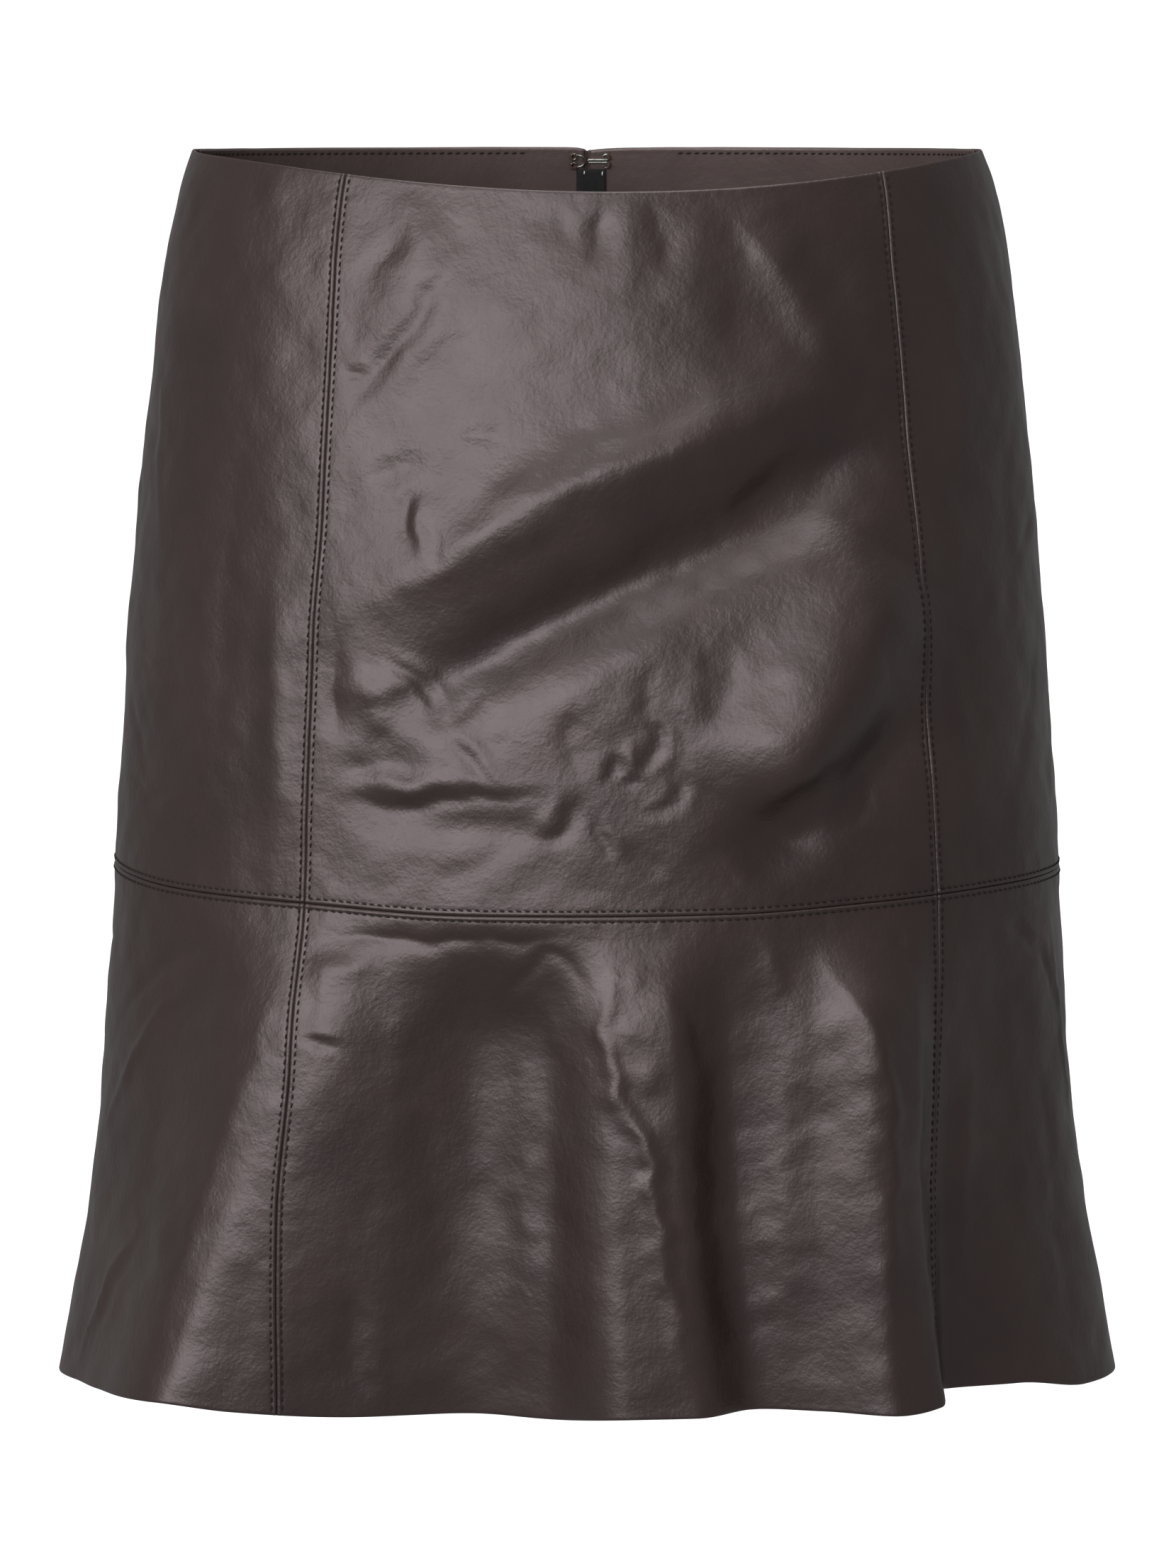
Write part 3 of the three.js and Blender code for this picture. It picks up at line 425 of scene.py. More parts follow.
def body_folds_out(phi, z):
    """The body's largest folds, as the frame has them."""
    turn = wrapped(phi)
    on_front = np.abs(turn) <= 90
    angle = np.radians(turn)
    here = np.where(on_front, angle, np.where(turn >= 0, 1, -1) * np.pi - angle) * FOLD_GIRTH
    total = np.zeros(np.broadcast(phi, z).shape)
    for folds, side in ((FRONT_FOLDS, on_front), (BACK_FOLDS, ~on_front)):
        for x1, z1, x2, z2, width, out in folds:
            a = FOLD_GIRTH * math.asin(x1 / float(half_width(z1)))
            b = FOLD_GIRTH * math.asin(x2 / float(half_width(z2)))
            along = ((here - a) * (b - a) + (z - z1) * (z2 - z1)) / ((b - a) ** 2 + (z2 - z1) ** 2)
            share = np.clip(along, 0, 1)
            away = np.hypot(here - a - share * (b - a), z - z1 - share * (z2 - z1))
            ends = smooth(0.3 + 3 * (0.5 - np.abs(share - 0.5)))
            total += side * out * ends * np.exp(-((away / width) ** 2))
    from_zip = FOLD_GIRTH * np.radians(180 - np.abs(turn))
    zip_from, zip_to = FOLD_FADE_AT_ZIP
    beside_zip = smooth((from_zip - zip_from) / (zip_to - zip_from))
    return total * beside_zip * smooth((z - seam_level(phi)) / FOLD_FADE_AT_SEAM)


def skin(phi, z):
    """The leather's outer face as the frame has it, in millimetres."""
    phi, z = np.broadcast_arrays(np.asarray(phi, float), np.asarray(z, float))
    seam = seam_level(phi)
    down = (seam - z) / (seam - hem_height(phi))
    out = np.where(down > 0, wave_out(phi, np.maximum(down, 0)), body_folds_out(phi, z))
    return base_point(phi, z) + level_normal(base_point, phi, z) * out[..., None]


def skin_normal(phi, z, turn=0.3, drop=0.6):
    across = skin(phi + turn, z) - skin(phi - turn, z)
    down = skin(phi, z - drop) - skin(phi, z + drop)
    normal = np.cross(down, across)
    return normal / np.linalg.norm(normal, axis=-1, keepdims=True)


def smooth_line(points, per_span=5):
    """Points along a smooth curve through the given ones."""
    p = np.array(points, float)
    p = np.vstack([2 * p[0] - p[1], p, 2 * p[-1] - p[-2]])
    t = (np.arange(per_span) / per_span)[:, None]
    spans = []
    for i in range(1, len(p) - 2):
        a, b, c, d = p[i - 1], p[i], p[i + 1], p[i + 2]
        spans.append(0.5 * (2 * b + (c - a) * t + (2 * a - 5 * b + 4 * c - d) * t ** 2
                            + (3 * b - a - 3 * c + d) * t ** 3))
    return np.vstack(spans + [p[-2:-1]])


def crease_height(phi, z, creases):
    """How far the listed creases stand out at each place."""
    straight = (FOLD_GIRTH * np.radians(phi)).ravel()
    up = z.ravel()
    around = straight + 0.9 * np.sin(up / 4.1 + straight / 9) + 0.5 * np.sin(up / 1.9 - straight / 5)
    up = up + 0.9 * np.sin(straight / 4.7 - up / 11) + 0.5 * np.sin(straight / 2.3 + up / 6)
    total = np.zeros(around.size)
    for points, out, width_start, width_end, lip in creases:
        line = smooth_line([(FOLD_GIRTH * math.radians(p), h) for p, h in points])
        reach = 3.2 * max(width_start, width_end)
        low, high = line.min(0) - reach, line.max(0) + reach
        near = np.flatnonzero((around > low[0]) & (around < high[0]) & (up > low[1]) & (up < high[1]))
        if not near.size:
            continue
        here = np.stack([around[near], up[near]], -1)
        lengths = np.linalg.norm(np.diff(line, axis=0), axis=1)
        starts = np.concatenate([[0], np.cumsum(lengths)])
        best = np.full(near.size, 1e9)
        side = np.zeros(near.size)
        share = np.zeros(near.size)
        for k, length in enumerate(lengths):
            ahead = (line[k + 1] - line[k]) / length
            off = here - line[k]
            along = np.clip(off @ ahead, 0, length)
            away = off - along[:, None] * ahead
            distance = np.hypot(away[:, 0], away[:, 1])
            closer = distance < best
            best = np.where(closer, distance, best)
            side = np.where(closer, ahead[0] * off[:, 1] - ahead[1] * off[:, 0], side)
            share = np.where(closer, (starts[k] + along) / starts[-1], share)
        ends = smooth(0.06 + 2.4 * np.minimum(share, 1 - share))
        width = mix(width_start, width_end, share) * (0.62 + 0.38 * ends)
        signed = np.where(side > 0, best, -best) / width
        profile = out * (0.72 * np.exp(-signed ** 2) + 0.28 * np.exp(-np.abs(signed) * 0.9))
        if lip:
            profile = profile + lip * np.exp(-((signed - 1.9) / 0.9) ** 2)
        total[near] += ends * profile
    return total.reshape(phi.shape)


def swell_height(phi, z):
    around = FOLD_GIRTH * np.radians(phi)
    total = np.zeros(phi.shape)
    for wavelength, direction, phase, height in SWELLS:
        a = math.radians(direction)
        travel = around * math.cos(a) + z * math.sin(a)
        bend = 0.8 * np.sin(0.021 * around * math.sin(a) - 0.017 * z * math.cos(a) + phase * 2)
        total += height * np.sin(2 * np.pi * travel / wavelength + phase + bend)
    lumps = np.random.default_rng(LUMPS["seed"])
    for _ in range(LUMPS["count"]):
        wavelength = lumps.uniform(LUMPS["shortest"], LUMPS["longest"])
        a, phase = lumps.uniform(0, np.pi), lumps.uniform(0, 2 * np.pi)
        travel = around * math.cos(a) + z * math.sin(a)
        total += LUMPS["height"] * np.sin(2 * np.pi * travel / wavelength + phase)
    return total


def seam_relief(distance, along, raised=1.0):
    """A pressed-open seam: the edge turns in, the strip beside it stands up to the stitches, and the
    allowance under the leather shows as a low step, a little puckered."""
    turned = -EDGE_TURN["depth"] * np.clip(1 - distance / EDGE_TURN["reach"], 0, 1) ** 2
    strip = STRIP["height"] * np.exp(-((distance - STRIP["at"]) / STRIP["width"]) ** 2)
    bed = -STITCH_BED["depth"] * np.exp(-((distance - STITCH_FROM_SEAM) / STITCH_BED["width"]) ** 2)
    on_allowance = 1 - smooth((distance - ALLOWANCE + PLATEAU["edge"]) / PLATEAU["edge"])
    puckers = sum(height * np.sin(2 * np.pi * along / wave + phase) for wave, phase, height in PUCKERS)
    puckered = puckers * smooth((distance - 1.2) / 1.5) * on_allowance
    return turned + strip + bed + PLATEAU["height"] * raised * on_allowance + puckered


class Panel:
    """One panel between two seams and two levels. Each of its four edges is a seam, or open."""

    def __init__(self, name, start, end, top, bottom, creases, open_edges=()):
        self.name = name
        self.start, self.end, self.top, self.bottom = start, end, top, bottom
        self.creases = creases
        self.open_edges = open_edges
        levels = np.linspace(2, HEM_LEVEL - 6, 120)
        self.speed_start = self._speed(start, levels)
        self.speed_end = self._speed(end, levels)

    @staticmethod
    def _speed(edge, levels):
        phi = edge(levels)
        speed = np.linalg.norm(skin(phi + 0.4, levels) - skin(phi - 0.4, levels), axis=-1) / 0.8
        return lambda z: np.interp(-z, -levels, speed)

    def near(self, edge):
        return np.array(NEAR_OPEN if edge in self.open_edges else NEAR_SEAM)

    def distances(self, phi, z):
        return {
            "start": (phi - self.start(z)) * self.speed_start(z),
            "end": (self.end(z) - phi) * self.speed_end(z),
            "top": self.top(phi) - z,
            "bottom": z - self.bottom(phi),
        }

    def grid(self, step):
        """Angles and heights of a mesh that is closest beside the edges."""
        middle = (self.top(self.start(0.0)) + self.bottom(self.start(0.0))) / 2
        girth = (self.end(middle) - self.start(middle)) * float(self.speed_start(middle))
        depth = float(self.top(self.start(0.0)) - self.bottom(self.start(0.0)))
        m, a, b = lanes(self.near("start"), self.near("end"), girth, step)
        n, c, d = lanes(self.near("top"), self.near("bottom"), depth, step)
        m, a, b = m[:, None], a[:, None], b[:, None]
        z = np.full((len(m), len(n)), float(middle))
        for _ in range(4):
            start = self.start(z) + a / self.speed_start(z)
            end = self.end(z) - b / self.speed_end(z)
            phi = mix(start, end, m)
            z = mix(self.top(phi) - c, self.bottom(phi) + d, n)
        return phi, z

    def meeting(self, phi, z):
        """The same places, with the borders at seams moved out to meet the next panel."""
        phi, z = phi.copy(), z.copy()
        past = NEAR_SEAM[0] + SEAM_MEETS
        if "start" not in self.open_edges:
            phi[0] -= past / self.speed_start(z[0])
        if "end" not in self.open_edges:
            phi[-1] += past / self.speed_end(z[-1])
        if "top" not in self.open_edges:
            z[:, 0] += past
        if "bottom" not in self.open_edges:
            z[:, -1] -= past
        return phi, z

    def relief(self, phi, z):
        """Everything that stands out of the frame's face: creases, swells, seams and edges."""
        far = self.distances(phi, z)
        rim = np.minimum.reduce(list(far.values()))
        calm = smooth((rim - 1.5) / 9)
        out = (crease_height(phi, z, self.creases) + swell_height(phi, z)) * (0.35 + 0.65 * calm)
        around = FOLD_GIRTH * np.radians(phi)
        for edge, distance in far.items():
            if edge in self.open_edges:
                out = out - 0.4 * np.clip(1 - distance / 0.9, 0, 1) ** 2
            else:
                along = z if edge in ("start", "end") else around
                raised = 1.0
                if self.name == "skirt_front_centre" and edge == "start":
                    raised = 1 + 1.6 * np.exp(-(((z + 190) / 38) ** 2))
                out = out + seam_relief(np.maximum(distance, 0), along, raised)
        return out

    def place(self, phi, z, extra=0.0):
        """Points on the finished face, and the normals there."""
        normal = skin_normal(phi, z)
        return skin(phi, z) + normal * (self.relief(phi, z) + extra)[..., None], normal


def lanes(near_a, near_b, length, step):
    """Mesh lines between two edges: each line's share between the innermost near ones, and its
    distance from each edge."""
    middle = max(2, round((length - near_a[-1] - near_b[-1]) / step))
    share = np.concatenate([np.zeros(len(near_a)), np.arange(1, middle) / middle, np.ones(len(near_b))])
    from_a = np.concatenate([near_a, np.full(middle - 1 + len(near_b), near_a[-1])])
    from_b = np.concatenate([np.full(len(near_a) + middle - 1, near_b[-1]), near_b[::-1]])
    return share, from_a, from_b


def thinned(count, every):
    """Indices of every so many lines, with the first and the last."""
    return np.unique(np.concatenate([np.arange(0, count - 1, every), [count - 1]]))


def make_mesh(name, vertices, faces, materials, face_material=None, smooth_shading=True):
    """A mesh object from points in millimetres. Faces are one array, or several joined ones."""
    mesh = bpy.data.meshes.new(name)
    mesh.from_pydata((np.asarray(vertices) * MM).tolist(), [], [f.tolist() for f in faces])
    for material in materials:
        mesh.materials.append(material)
    if face_material is not None:
        mesh.polygons.foreach_set("material_index", face_material)
    mesh.polygons.foreach_set("use_smooth", [smooth_shading] * len(mesh.polygons))
    mesh.update()
    made = bpy.data.objects.new(name, mesh)
    bpy.context.scene.collection.objects.link(made)
    return made


def grid_faces(columns, rows, base=0, flip=False):
    i, j = np.meshgrid(np.arange(columns - 1), np.arange(rows - 1), indexing="ij")
    at = (base + i * rows + j).ravel()
    quad = np.stack([at, at + 1, at + rows + 1, at + rows], -1)
    return quad[:, ::-1] if flip else quad


def border(columns, rows, base=0):
    """The border of a grid in turn: down the first column, along the last row, up and back."""
    down = base + np.arange(rows)
    along = base + np.arange(columns) * rows + rows - 1
    up = base + (columns - 1) * rows + np.arange(rows)[::-1]
    back = base + np.arange(columns)[::-1] * rows
    return [down, along, up, back]


def zipper(fine, coarse, points):
    """Triangles between two lines of points that run side by side."""
    def shares(line):
        steps = np.linalg.norm(np.diff(points[line], axis=0), axis=1)
        return np.concatenate([[0], np.cumsum(steps)]) / max(steps.sum(), 1e-9)

    a, b = shares(fine), shares(coarse)
    i = j = 0
    faces = []
    while i < len(fine) - 1 or j < len(coarse) - 1:
        if j == len(coarse) - 1 or (i < len(fine) - 1 and a[i + 1] <= b[j + 1]):
            faces.append((fine[i], fine[i + 1], coarse[j]))
            i += 1
        else:
            faces.append((fine[i], coarse[j + 1], coarse[j]))
            j += 1
    return np.array(faces)


def shell(name, outer, inner, materials, rounding=None):
    """A closed thin shell between an outer grid and a coarser inner one."""
    columns, rows = outer.shape[:2]
    inner_columns, inner_rows = inner.shape[:2]
    points = np.vstack([outer.reshape(-1, 3), inner.reshape(-1, 3)])
    base = columns * rows
    front = grid_faces(columns, rows)
    back = grid_faces(inner_columns, inner_rows, base, flip=True)
    rims = [zipper(a, b, points)[:, ::-1] for a, b in
            zip(border(columns, rows), border(inner_columns, inner_rows, base))]
    rim = np.vstack(rims)
    faces = [*front, *back, *rim]
    index = [0] * len(front) + [1] * len(back) + [0] * len(rim)
    return make_mesh(name, points, faces, materials, index)

# Light
WORLD_LIGHT = 0.35
OVERHEAD = 3.1
SOFTBOXES = [
    ("key", -28, 15, 2.6, (3.1, 1.5), 108),
    ("fill", -5, 60, 3.0, (1.4, 1.0), 12),
]
FACINGS = [("facing_back_left", -180, -SIDE_SEAM), ("facing_back_right", SIDE_SEAM, 180)]


def nodes_of(material):
    tree = material.node_tree
    return tree.nodes, tree.links


def new_material(name, roughness, specular=0.5, metallic=0.0, tint=(1, 1, 1)):
    material = bpy.data.materials.new(name)
    material.use_nodes = True
    shader = material.node_tree.nodes["Principled BSDF"]
    shader.inputs["Roughness"].default_value = roughness
    shader.inputs["Specular IOR Level"].default_value = specular
    shader.inputs["Metallic"].default_value = metallic
    shader.inputs["Specular Tint"].default_value = (*tint, 1)
    return material, shader


def add_node(material, kind, **values):
    node = material.node_tree.nodes.new(kind)
    for key, value in values.items():
        if key in node.inputs:
            node.inputs[key].default_value = value
        else:
            setattr(node, key, value)
    return node


def object_coordinates(material):
    return add_node(material, "ShaderNodeTexCoord").outputs["Object"]


def noise(material, scale, detail=3.0, roughness=0.5, stretch=None):
    """Noise in the object's own coordinates. The scale is how many lumps fit in a metre."""
    nodes, links = nodes_of(material)
    texture = add_node(material, "ShaderNodeTexNoise", Scale=scale, Detail=detail, Roughness=roughness)
    source = object_coordinates(material)
    if stretch:
        mapping = add_node(material, "ShaderNodeMapping", Scale=stretch)
        links.new(source, mapping.inputs["Vector"])
        source = mapping.outputs["Vector"]
    links.new(source, texture.inputs["Vector"])
    return texture.outputs["Fac"]


def ramp(material, factor, stops):
    """Colours between stops of (place, (r, g, b))."""
    node = add_node(material, "ShaderNodeValToRGB")
    node.color_ramp.elements[0].position = stops[0][0]
    node.color_ramp.elements[0].color = (*stops[0][1], 1)
    node.color_ramp.elements[1].position = stops[-1][0]
    node.color_ramp.elements[1].color = (*stops[-1][1], 1)
    for place, colour in stops[1:-1]:
        node.color_ramp.elements.new(place).color = (*colour, 1)
    material.node_tree.links.new(factor, node.inputs["Fac"])
    return node.outputs["Color"]


def ranged(material, factor, low, high):
    node = add_node(material, "ShaderNodeMapRange")
    node.inputs["To Min"].default_value = low
    node.inputs["To Max"].default_value = high
    material.node_tree.links.new(factor, node.inputs["Value"])
    return node.outputs["Result"]


def bumped(material, shader, layers):
    """Bump from several height sources, each with its strength and depth in metres."""
    links = material.node_tree.links
    last = None
    for height, strength, depth in layers:
        node = add_node(material, "ShaderNodeBump", Strength=strength, Distance=depth)
        links.new(height, node.inputs["Height"])
        if last:
            links.new(last, node.inputs["Normal"])
        last = node.outputs["Normal"]
    links.new(last, shader.inputs["Normal"])


def nappa(name, dark, light, roughness):
    """Dyed nappa: fine pebbled grain, cloudy colour and gloss."""
    material, shader = new_material(name, roughness, specular=LEATHER_SPECULAR, tint=LEATHER_TINT)
    links = material.node_tree.links
    cloudy = noise(material, 26, detail=4)
    links.new(ramp(material, cloudy, [(0.32, dark), (0.68, light)]), shader.inputs["Base Color"])
    patchy = noise(material, 70, detail=3)
    links.new(ranged(material, patchy, roughness - 0.06, roughness + 0.06), shader.inputs["Roughness"])
    pebbles = add_node(material, "ShaderNodeTexVoronoi", Scale=820, Randomness=1.0)
    links.new(object_coordinates(material), pebbles.inputs["Vector"])
    pores = noise(material, 1500, detail=2)
    rumples = noise(material, 160, detail=4, roughness=0.6)
    wrinkles = noise(material, 400, detail=3)
    bumped(material, shader, [(pebbles.outputs["Distance"], 0.35, 0.00012), (pores, 0.35, 0.00010),
                              (wrinkles, 0.4, 0.0003), (rumples, 0.45, 0.0007)])
    return material


def suede(name, dark, light):
    """The flesh side: matt and fibrous."""
    material, shader = new_material(name, 0.92, specular=0.2)
    links = material.node_tree.links
    links.new(ramp(material, noise(material, 90, detail=5), [(0.3, dark), (0.7, light)]),
              shader.inputs["Base Color"])
    bumped(material, shader, [(noise(material, 1500, detail=4, roughness=0.7), 0.35, 0.0002),
                              (noise(material, 240, detail=3), 0.2, 0.0004)])
    return material


def thread(name, dark, light):
    """Twisted polyester thread."""
    material, shader = new_material(name, 0.7, specular=0.2)
    links = material.node_tree.links
    links.new(ramp(material, noise(material, 1400, detail=2), [(0.3, dark), (0.7, light)]),
              shader.inputs["Base Color"])
    twist = add_node(material, "ShaderNodeTexWave", Scale=900, Distortion=1.5)
    links.new(object_coordinates(material), twist.inputs["Vector"])
    bumped(material, shader, [(twist.outputs["Fac"], 0.3, 0.0001)])
    return material


def woven(name, dark, light, scale):
    """Fine weave for the zip tape and the label."""
    material, shader = new_material(name, 0.75, specular=0.3)
    links = material.node_tree.links
    fibres = noise(material, 600, detail=4, stretch=(1, 1, 0.2))
    links.new(ramp(material, fibres, [(0.3, dark), (0.7, light)]), shader.inputs["Base Color"])
    warp = add_node(material, "ShaderNodeTexWave", Scale=scale, bands_direction="X")
    weft = add_node(material, "ShaderNodeTexWave", Scale=scale, bands_direction="Z")
    for wave in (warp, weft):
        links.new(object_coordinates(material), wave.inputs["Vector"])
    bumped(material, shader, [(warp.outputs["Fac"], 0.35, 0.00012), (weft.outputs["Fac"], 0.35, 0.00012)])
    return material


def dark_metal(name, colour, roughness):
    """Dark plated metal with faint rubbing."""
    material, shader = new_material(name, roughness, metallic=1.0)
    links = material.node_tree.links
    worn = noise(material, 900, detail=4)
    brighter = tuple(min(1.0, c * 1.7) for c in colour)
    links.new(ramp(material, worn, [(0.35, colour), (0.75, brighter)]), shader.inputs["Base Color"])
    links.new(ranged(material, noise(material, 400, detail=3), roughness - 0.1, roughness + 0.12),
              shader.inputs["Roughness"])
    bumped(material, shader, [(noise(material, 1600, detail=3), 0.08, 0.0001)])
    return material


LEATHER_SPECULAR = 0.5
LEATHER_TINT = (1.0, 0.86, 0.89)
leather = nappa("nappa", (0.0088, 0.0046, 0.0037), (0.0122, 0.0066, 0.0052), 0.43)
facing_leather = nappa("facing_nappa", (0.052, 0.0375, 0.0345), (0.066, 0.0480, 0.0445), 0.46)
flesh = suede("flesh_side", (0.040, 0.026, 0.022), (0.062, 0.042, 0.036))
# Stitching thread: dark brown, its colour pushed almost to black as painted shade for the shadows and holes round each
# stitch
brown_thread_painted_shade = thread("brown_thread_painted_shade", (0.0035, 0.0018, 0.0014), (0.0070, 0.0036, 0.0028))
knot_thread = thread("knot_thread", (0.040, 0.022, 0.017), (0.065, 0.038, 0.030))
white_thread = thread("white_thread", (0.70, 0.70, 0.69), (0.85, 0.85, 0.84))
zip_cloth = woven("zip_cloth", (0.012, 0.008, 0.007), (0.022, 0.015, 0.013), 900)
satin = woven("label_satin", (0.004, 0.004, 0.004), (0.010, 0.010, 0.010), 1500)
nickel = dark_metal("dark_nickel", (0.20, 0.205, 0.185), 0.32)

# Panels
def side_left(z):
    return 0 * z - SIDE_SEAM


def side_right(z):
    return 0 * z + SIDE_SEAM


def back_from_left(z):
    return 0 * z - 180.0


def back_from_right(z):
    return 0 * z + 180.0


CUTS = [
    ("front_centre", left_princess, right_princess),
    ("front_side_left", side_left, left_princess),
    ("front_side_right", right_princess, side_right),
    ("back_left", back_from_left, side_left),
    ("back_right", side_right, back_from_right),
]
gathers = [([(phi, top), (phi + 0.25, low)], *GATHER_SHAPE) for phi, top, low in GATHERS]
panels = {}
for cut, start, end in CUTS:
    body = Panel("skirt_" + cut, start, end, waist_edge, seam_level, BODY_CREASES + gathers, ("top",))
    skirt_flounce = Panel("flounce_" + cut, start, end, seam_level, hem_height, FLOUNCE_CREASES, ("bottom",))
    panels[body.name] = body
    panels[skirt_flounce.name] = skirt_flounce


def inner_offset(panel, phi, z):
    """How deep the inner face lies: one wall, or two where a seam allowance is folded back."""
    depth = np.full(phi.shape, WALL)
    behind_facing = smooth((panel_top_distance(phi, z) - FACING_DEPTH - 3) / 4)
    for edge, distance in panel.distances(phi, z).items():
        if edge in panel.open_edges:
            continue
        beside_zip = edge == ("start" if "back_left" in panel.name else "end") and "back" in panel.name
        shown = np.where(z < ZIP_BOTTOM - 6, 1.0, 0.0) if beside_zip else behind_facing
        depth = np.maximum(depth, WALL + 0.85 * shown * (1 - smooth((distance - ALLOWANCE) / 0.8)))
    return depth


def panel_top_distance(phi, z):
    return waist_edge(phi) - z


ZIP_TOP = -53.3
ZIP_BOTTOM = -205


def flat_cut(panel):
    """Width, length and area of a panel's flat cut, in metres. A body panel is unrolled from the smooth
    form without any fold, and a flounce panel with its waves, because they are its flare."""
    form = skin if panel.top is seam_level else base_point
    share = np.linspace(0, 1, CUT_COLUMNS)[:, None]
    down = np.linspace(0, 1, CUT_ROWS)[None, :]
    z = np.full((CUT_COLUMNS, CUT_ROWS), float(panel.bottom(panel.start(FLOUNCE_LEVEL))))
    for _ in range(4):
        phi = mix(panel.start(z), panel.end(z), share)
        z = mix(panel.top(phi), panel.bottom(phi), down)
    points = form(phi, z) * MM
    widths = np.linalg.norm(np.diff(points, axis=0), axis=-1).sum(0)
    lengths = np.linalg.norm(np.diff(points, axis=1), axis=-1).sum(1)
    return round(float(widths.max()), 3), round(float(lengths.max()), 3), float(widths.mean() * lengths.mean())


made = {}
step = GRID_STEP * 1
for name, panel in panels.items():
    phi, z = panel.grid(step)
    outer, normal = panel.place(phi, z)
    columns, rows = thinned(phi.shape[0], INNER_EVERY), thinned(phi.shape[1], INNER_EVERY)
    pick = np.ix_(columns, rows)
    behind_phi, behind_z = panel.meeting(phi[pick], z[pick])
    bare = skin(behind_phi, behind_z)
    calm = crease_height(phi[pick], z[pick], panel.creases) + swell_height(phi[pick], z[pick])
    deep = inner_offset(panel, phi[pick], z[pick])
    rim = np.minimum.reduce(list(panel.distances(phi[pick], z[pick]).values()))
    calm = calm * (0.35 + 0.65 * smooth((rim - 1.5) / 9))
    inner = bare + normal[pick] * (calm - deep)[..., None]
    piece = shell("leather_" + name, outer, inner, [leather, flesh])
    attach(piece, "skirt")
    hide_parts(name)
    made[name] = piece
    width, length, area = flat_cut(panel)


def capsules(name, starts, ends, normals, radius, material, sides=6, arch=0.12):
    """Stitches: a short rounded bar from each start to each end, its ends sunk a little."""
    starts, ends, normals = (np.asarray(v, float) for v in (starts, ends, normals))
    ahead = ends - starts
    length = np.linalg.norm(ahead, axis=1, keepdims=True)
    ahead = ahead / length
    across = np.cross(ahead, normals)
    across /= np.linalg.norm(across, axis=1, keepdims=True)
    up = np.cross(across, ahead)
    rings = [(0.0, 0.25, -1.3), (0.07, 0.75, -0.45), (0.25, 1.0, 0.6), (0.5, 1.05, 1.0), (0.75, 1.0, 0.6),
             (0.93, 0.75, -0.45), (1.0, 0.25, -1.3)]
    points = []
    for share, girth, lift in rings:
        centre = starts + ahead * length * share + up * arch * lift
        for k in range(sides):
            turn = 2 * math.pi * k / sides
            points.append(centre + radius * girth * (across * math.cos(turn) + up * math.sin(turn)))
    points = np.stack(points, 1)
    per = len(rings) * sides
    faces = []
    for r in range(len(rings) - 1):
        for k in range(sides):
            a, b = r * sides + k, r * sides + (k + 1) % sides
            faces.append((a, a + sides, b + sides, b))
    faces = np.array(faces)
    caps = np.array([list(range(sides)), list(range(per - 1, per - 1 - sides, -1))])
    offsets = np.arange(len(starts))[:, None, None] * per
    all_faces = [*(faces[None] + offsets).reshape(-1, 4), *(caps[None] + offsets).reshape(-1, sides)]
    piece = make_mesh(name, points.reshape(-1, 3), all_faces, [material])
    return piece


def stitch_row(panel, edge, distance, draw):
    """Starts, ends and normals of stitches at a distance from one edge of a panel."""
    along = np.linspace(0, 1, 1200)
    if edge in ("start", "end"):
        side = panel.start if edge == "start" else panel.end
        high, low = (FLOUNCE_LEVEL, HEM_LEVEL) if "flounce" in panel.name else (0.0, FLOUNCE_LEVEL)
        z = mix(float(panel.top(side(high))) - 1.2, float(panel.bottom(side(low))) + 1.2, along)
        if edge == "start":
            phi = panel.start(z) + distance / panel.speed_start(z)
        else:
            phi = panel.end(z) - distance / panel.speed_end(z)
    else:
        z = panel.top(panel.start(-200.0)) + 0 * along
        for _ in range(3):
            start = panel.start(z) + 1.2 / panel.speed_start(z)
            end = panel.end(z) - 1.2 / panel.speed_end(z)
            phi = mix(start, end, along)
            z = panel.top(phi) - distance if edge == "top" else panel.bottom(phi) + distance
    points, normals = panel.place(phi, z)
    travelled = np.concatenate([[0], np.cumsum(np.linalg.norm(np.diff(points, axis=0), axis=1))])
    count = int(travelled[-1] // STITCH_PITCH)
    begin = (np.arange(count) + 0.5) * travelled[-1] / count - STITCH_LENGTH / 2
    jitter = draw.uniform(-0.12, 0.12, count)

    def at(places):
        return (np.stack([np.interp(places, travelled, points[:, k]) for k in range(3)], 1),
                np.stack([np.interp(places, travelled, normals[:, k]) for k in range(3)], 1))

    a, normal_a = at(begin + jitter)
    b, _ = at(begin + STITCH_LENGTH + jitter)
    side = np.cross(b - a, normal_a)
    side /= np.linalg.norm(side, axis=1, keepdims=True)
    slant = (STITCH_SLANT + draw.uniform(-0.05, 0.05, count))[:, None]
    raised = normal_a * 0.10
    return a - side * slant + raised, b + side * slant + raised, normal_a


draw = np.random.default_rng(7)
SEAM_STITCHES = [
    ("stitches_left_princess", [("skirt_front_centre", "start"), ("skirt_front_side_left", "end"),
                                ("flounce_front_centre", "start"), ("flounce_front_side_left", "end")]),
    ("stitches_right_princess", [("skirt_front_centre", "end"), ("skirt_front_side_right", "start"),
                                 ("flounce_front_centre", "end"), ("flounce_front_side_right", "start")]),
    ("stitches_left_side", [("skirt_front_side_left", "start"), ("skirt_back_left", "end"),
                            ("flounce_front_side_left", "start"), ("flounce_back_left", "end")]),
    ("stitches_right_side", [("skirt_front_side_right", "end"), ("skirt_back_right", "start"),
                             ("flounce_front_side_right", "end"), ("flounce_back_right", "start")]),
    ("stitches_centre_back", [("skirt_back_left", "start"), ("skirt_back_right", "end"),
                              ("flounce_back_left", "start"), ("flounce_back_right", "end")]),
    ("stitches_above_flounce", [("skirt_" + cut[0], "bottom") for cut in CUTS]),
    ("stitches_below_seam", [("flounce_" + cut[0], "top") for cut in CUTS]),
]
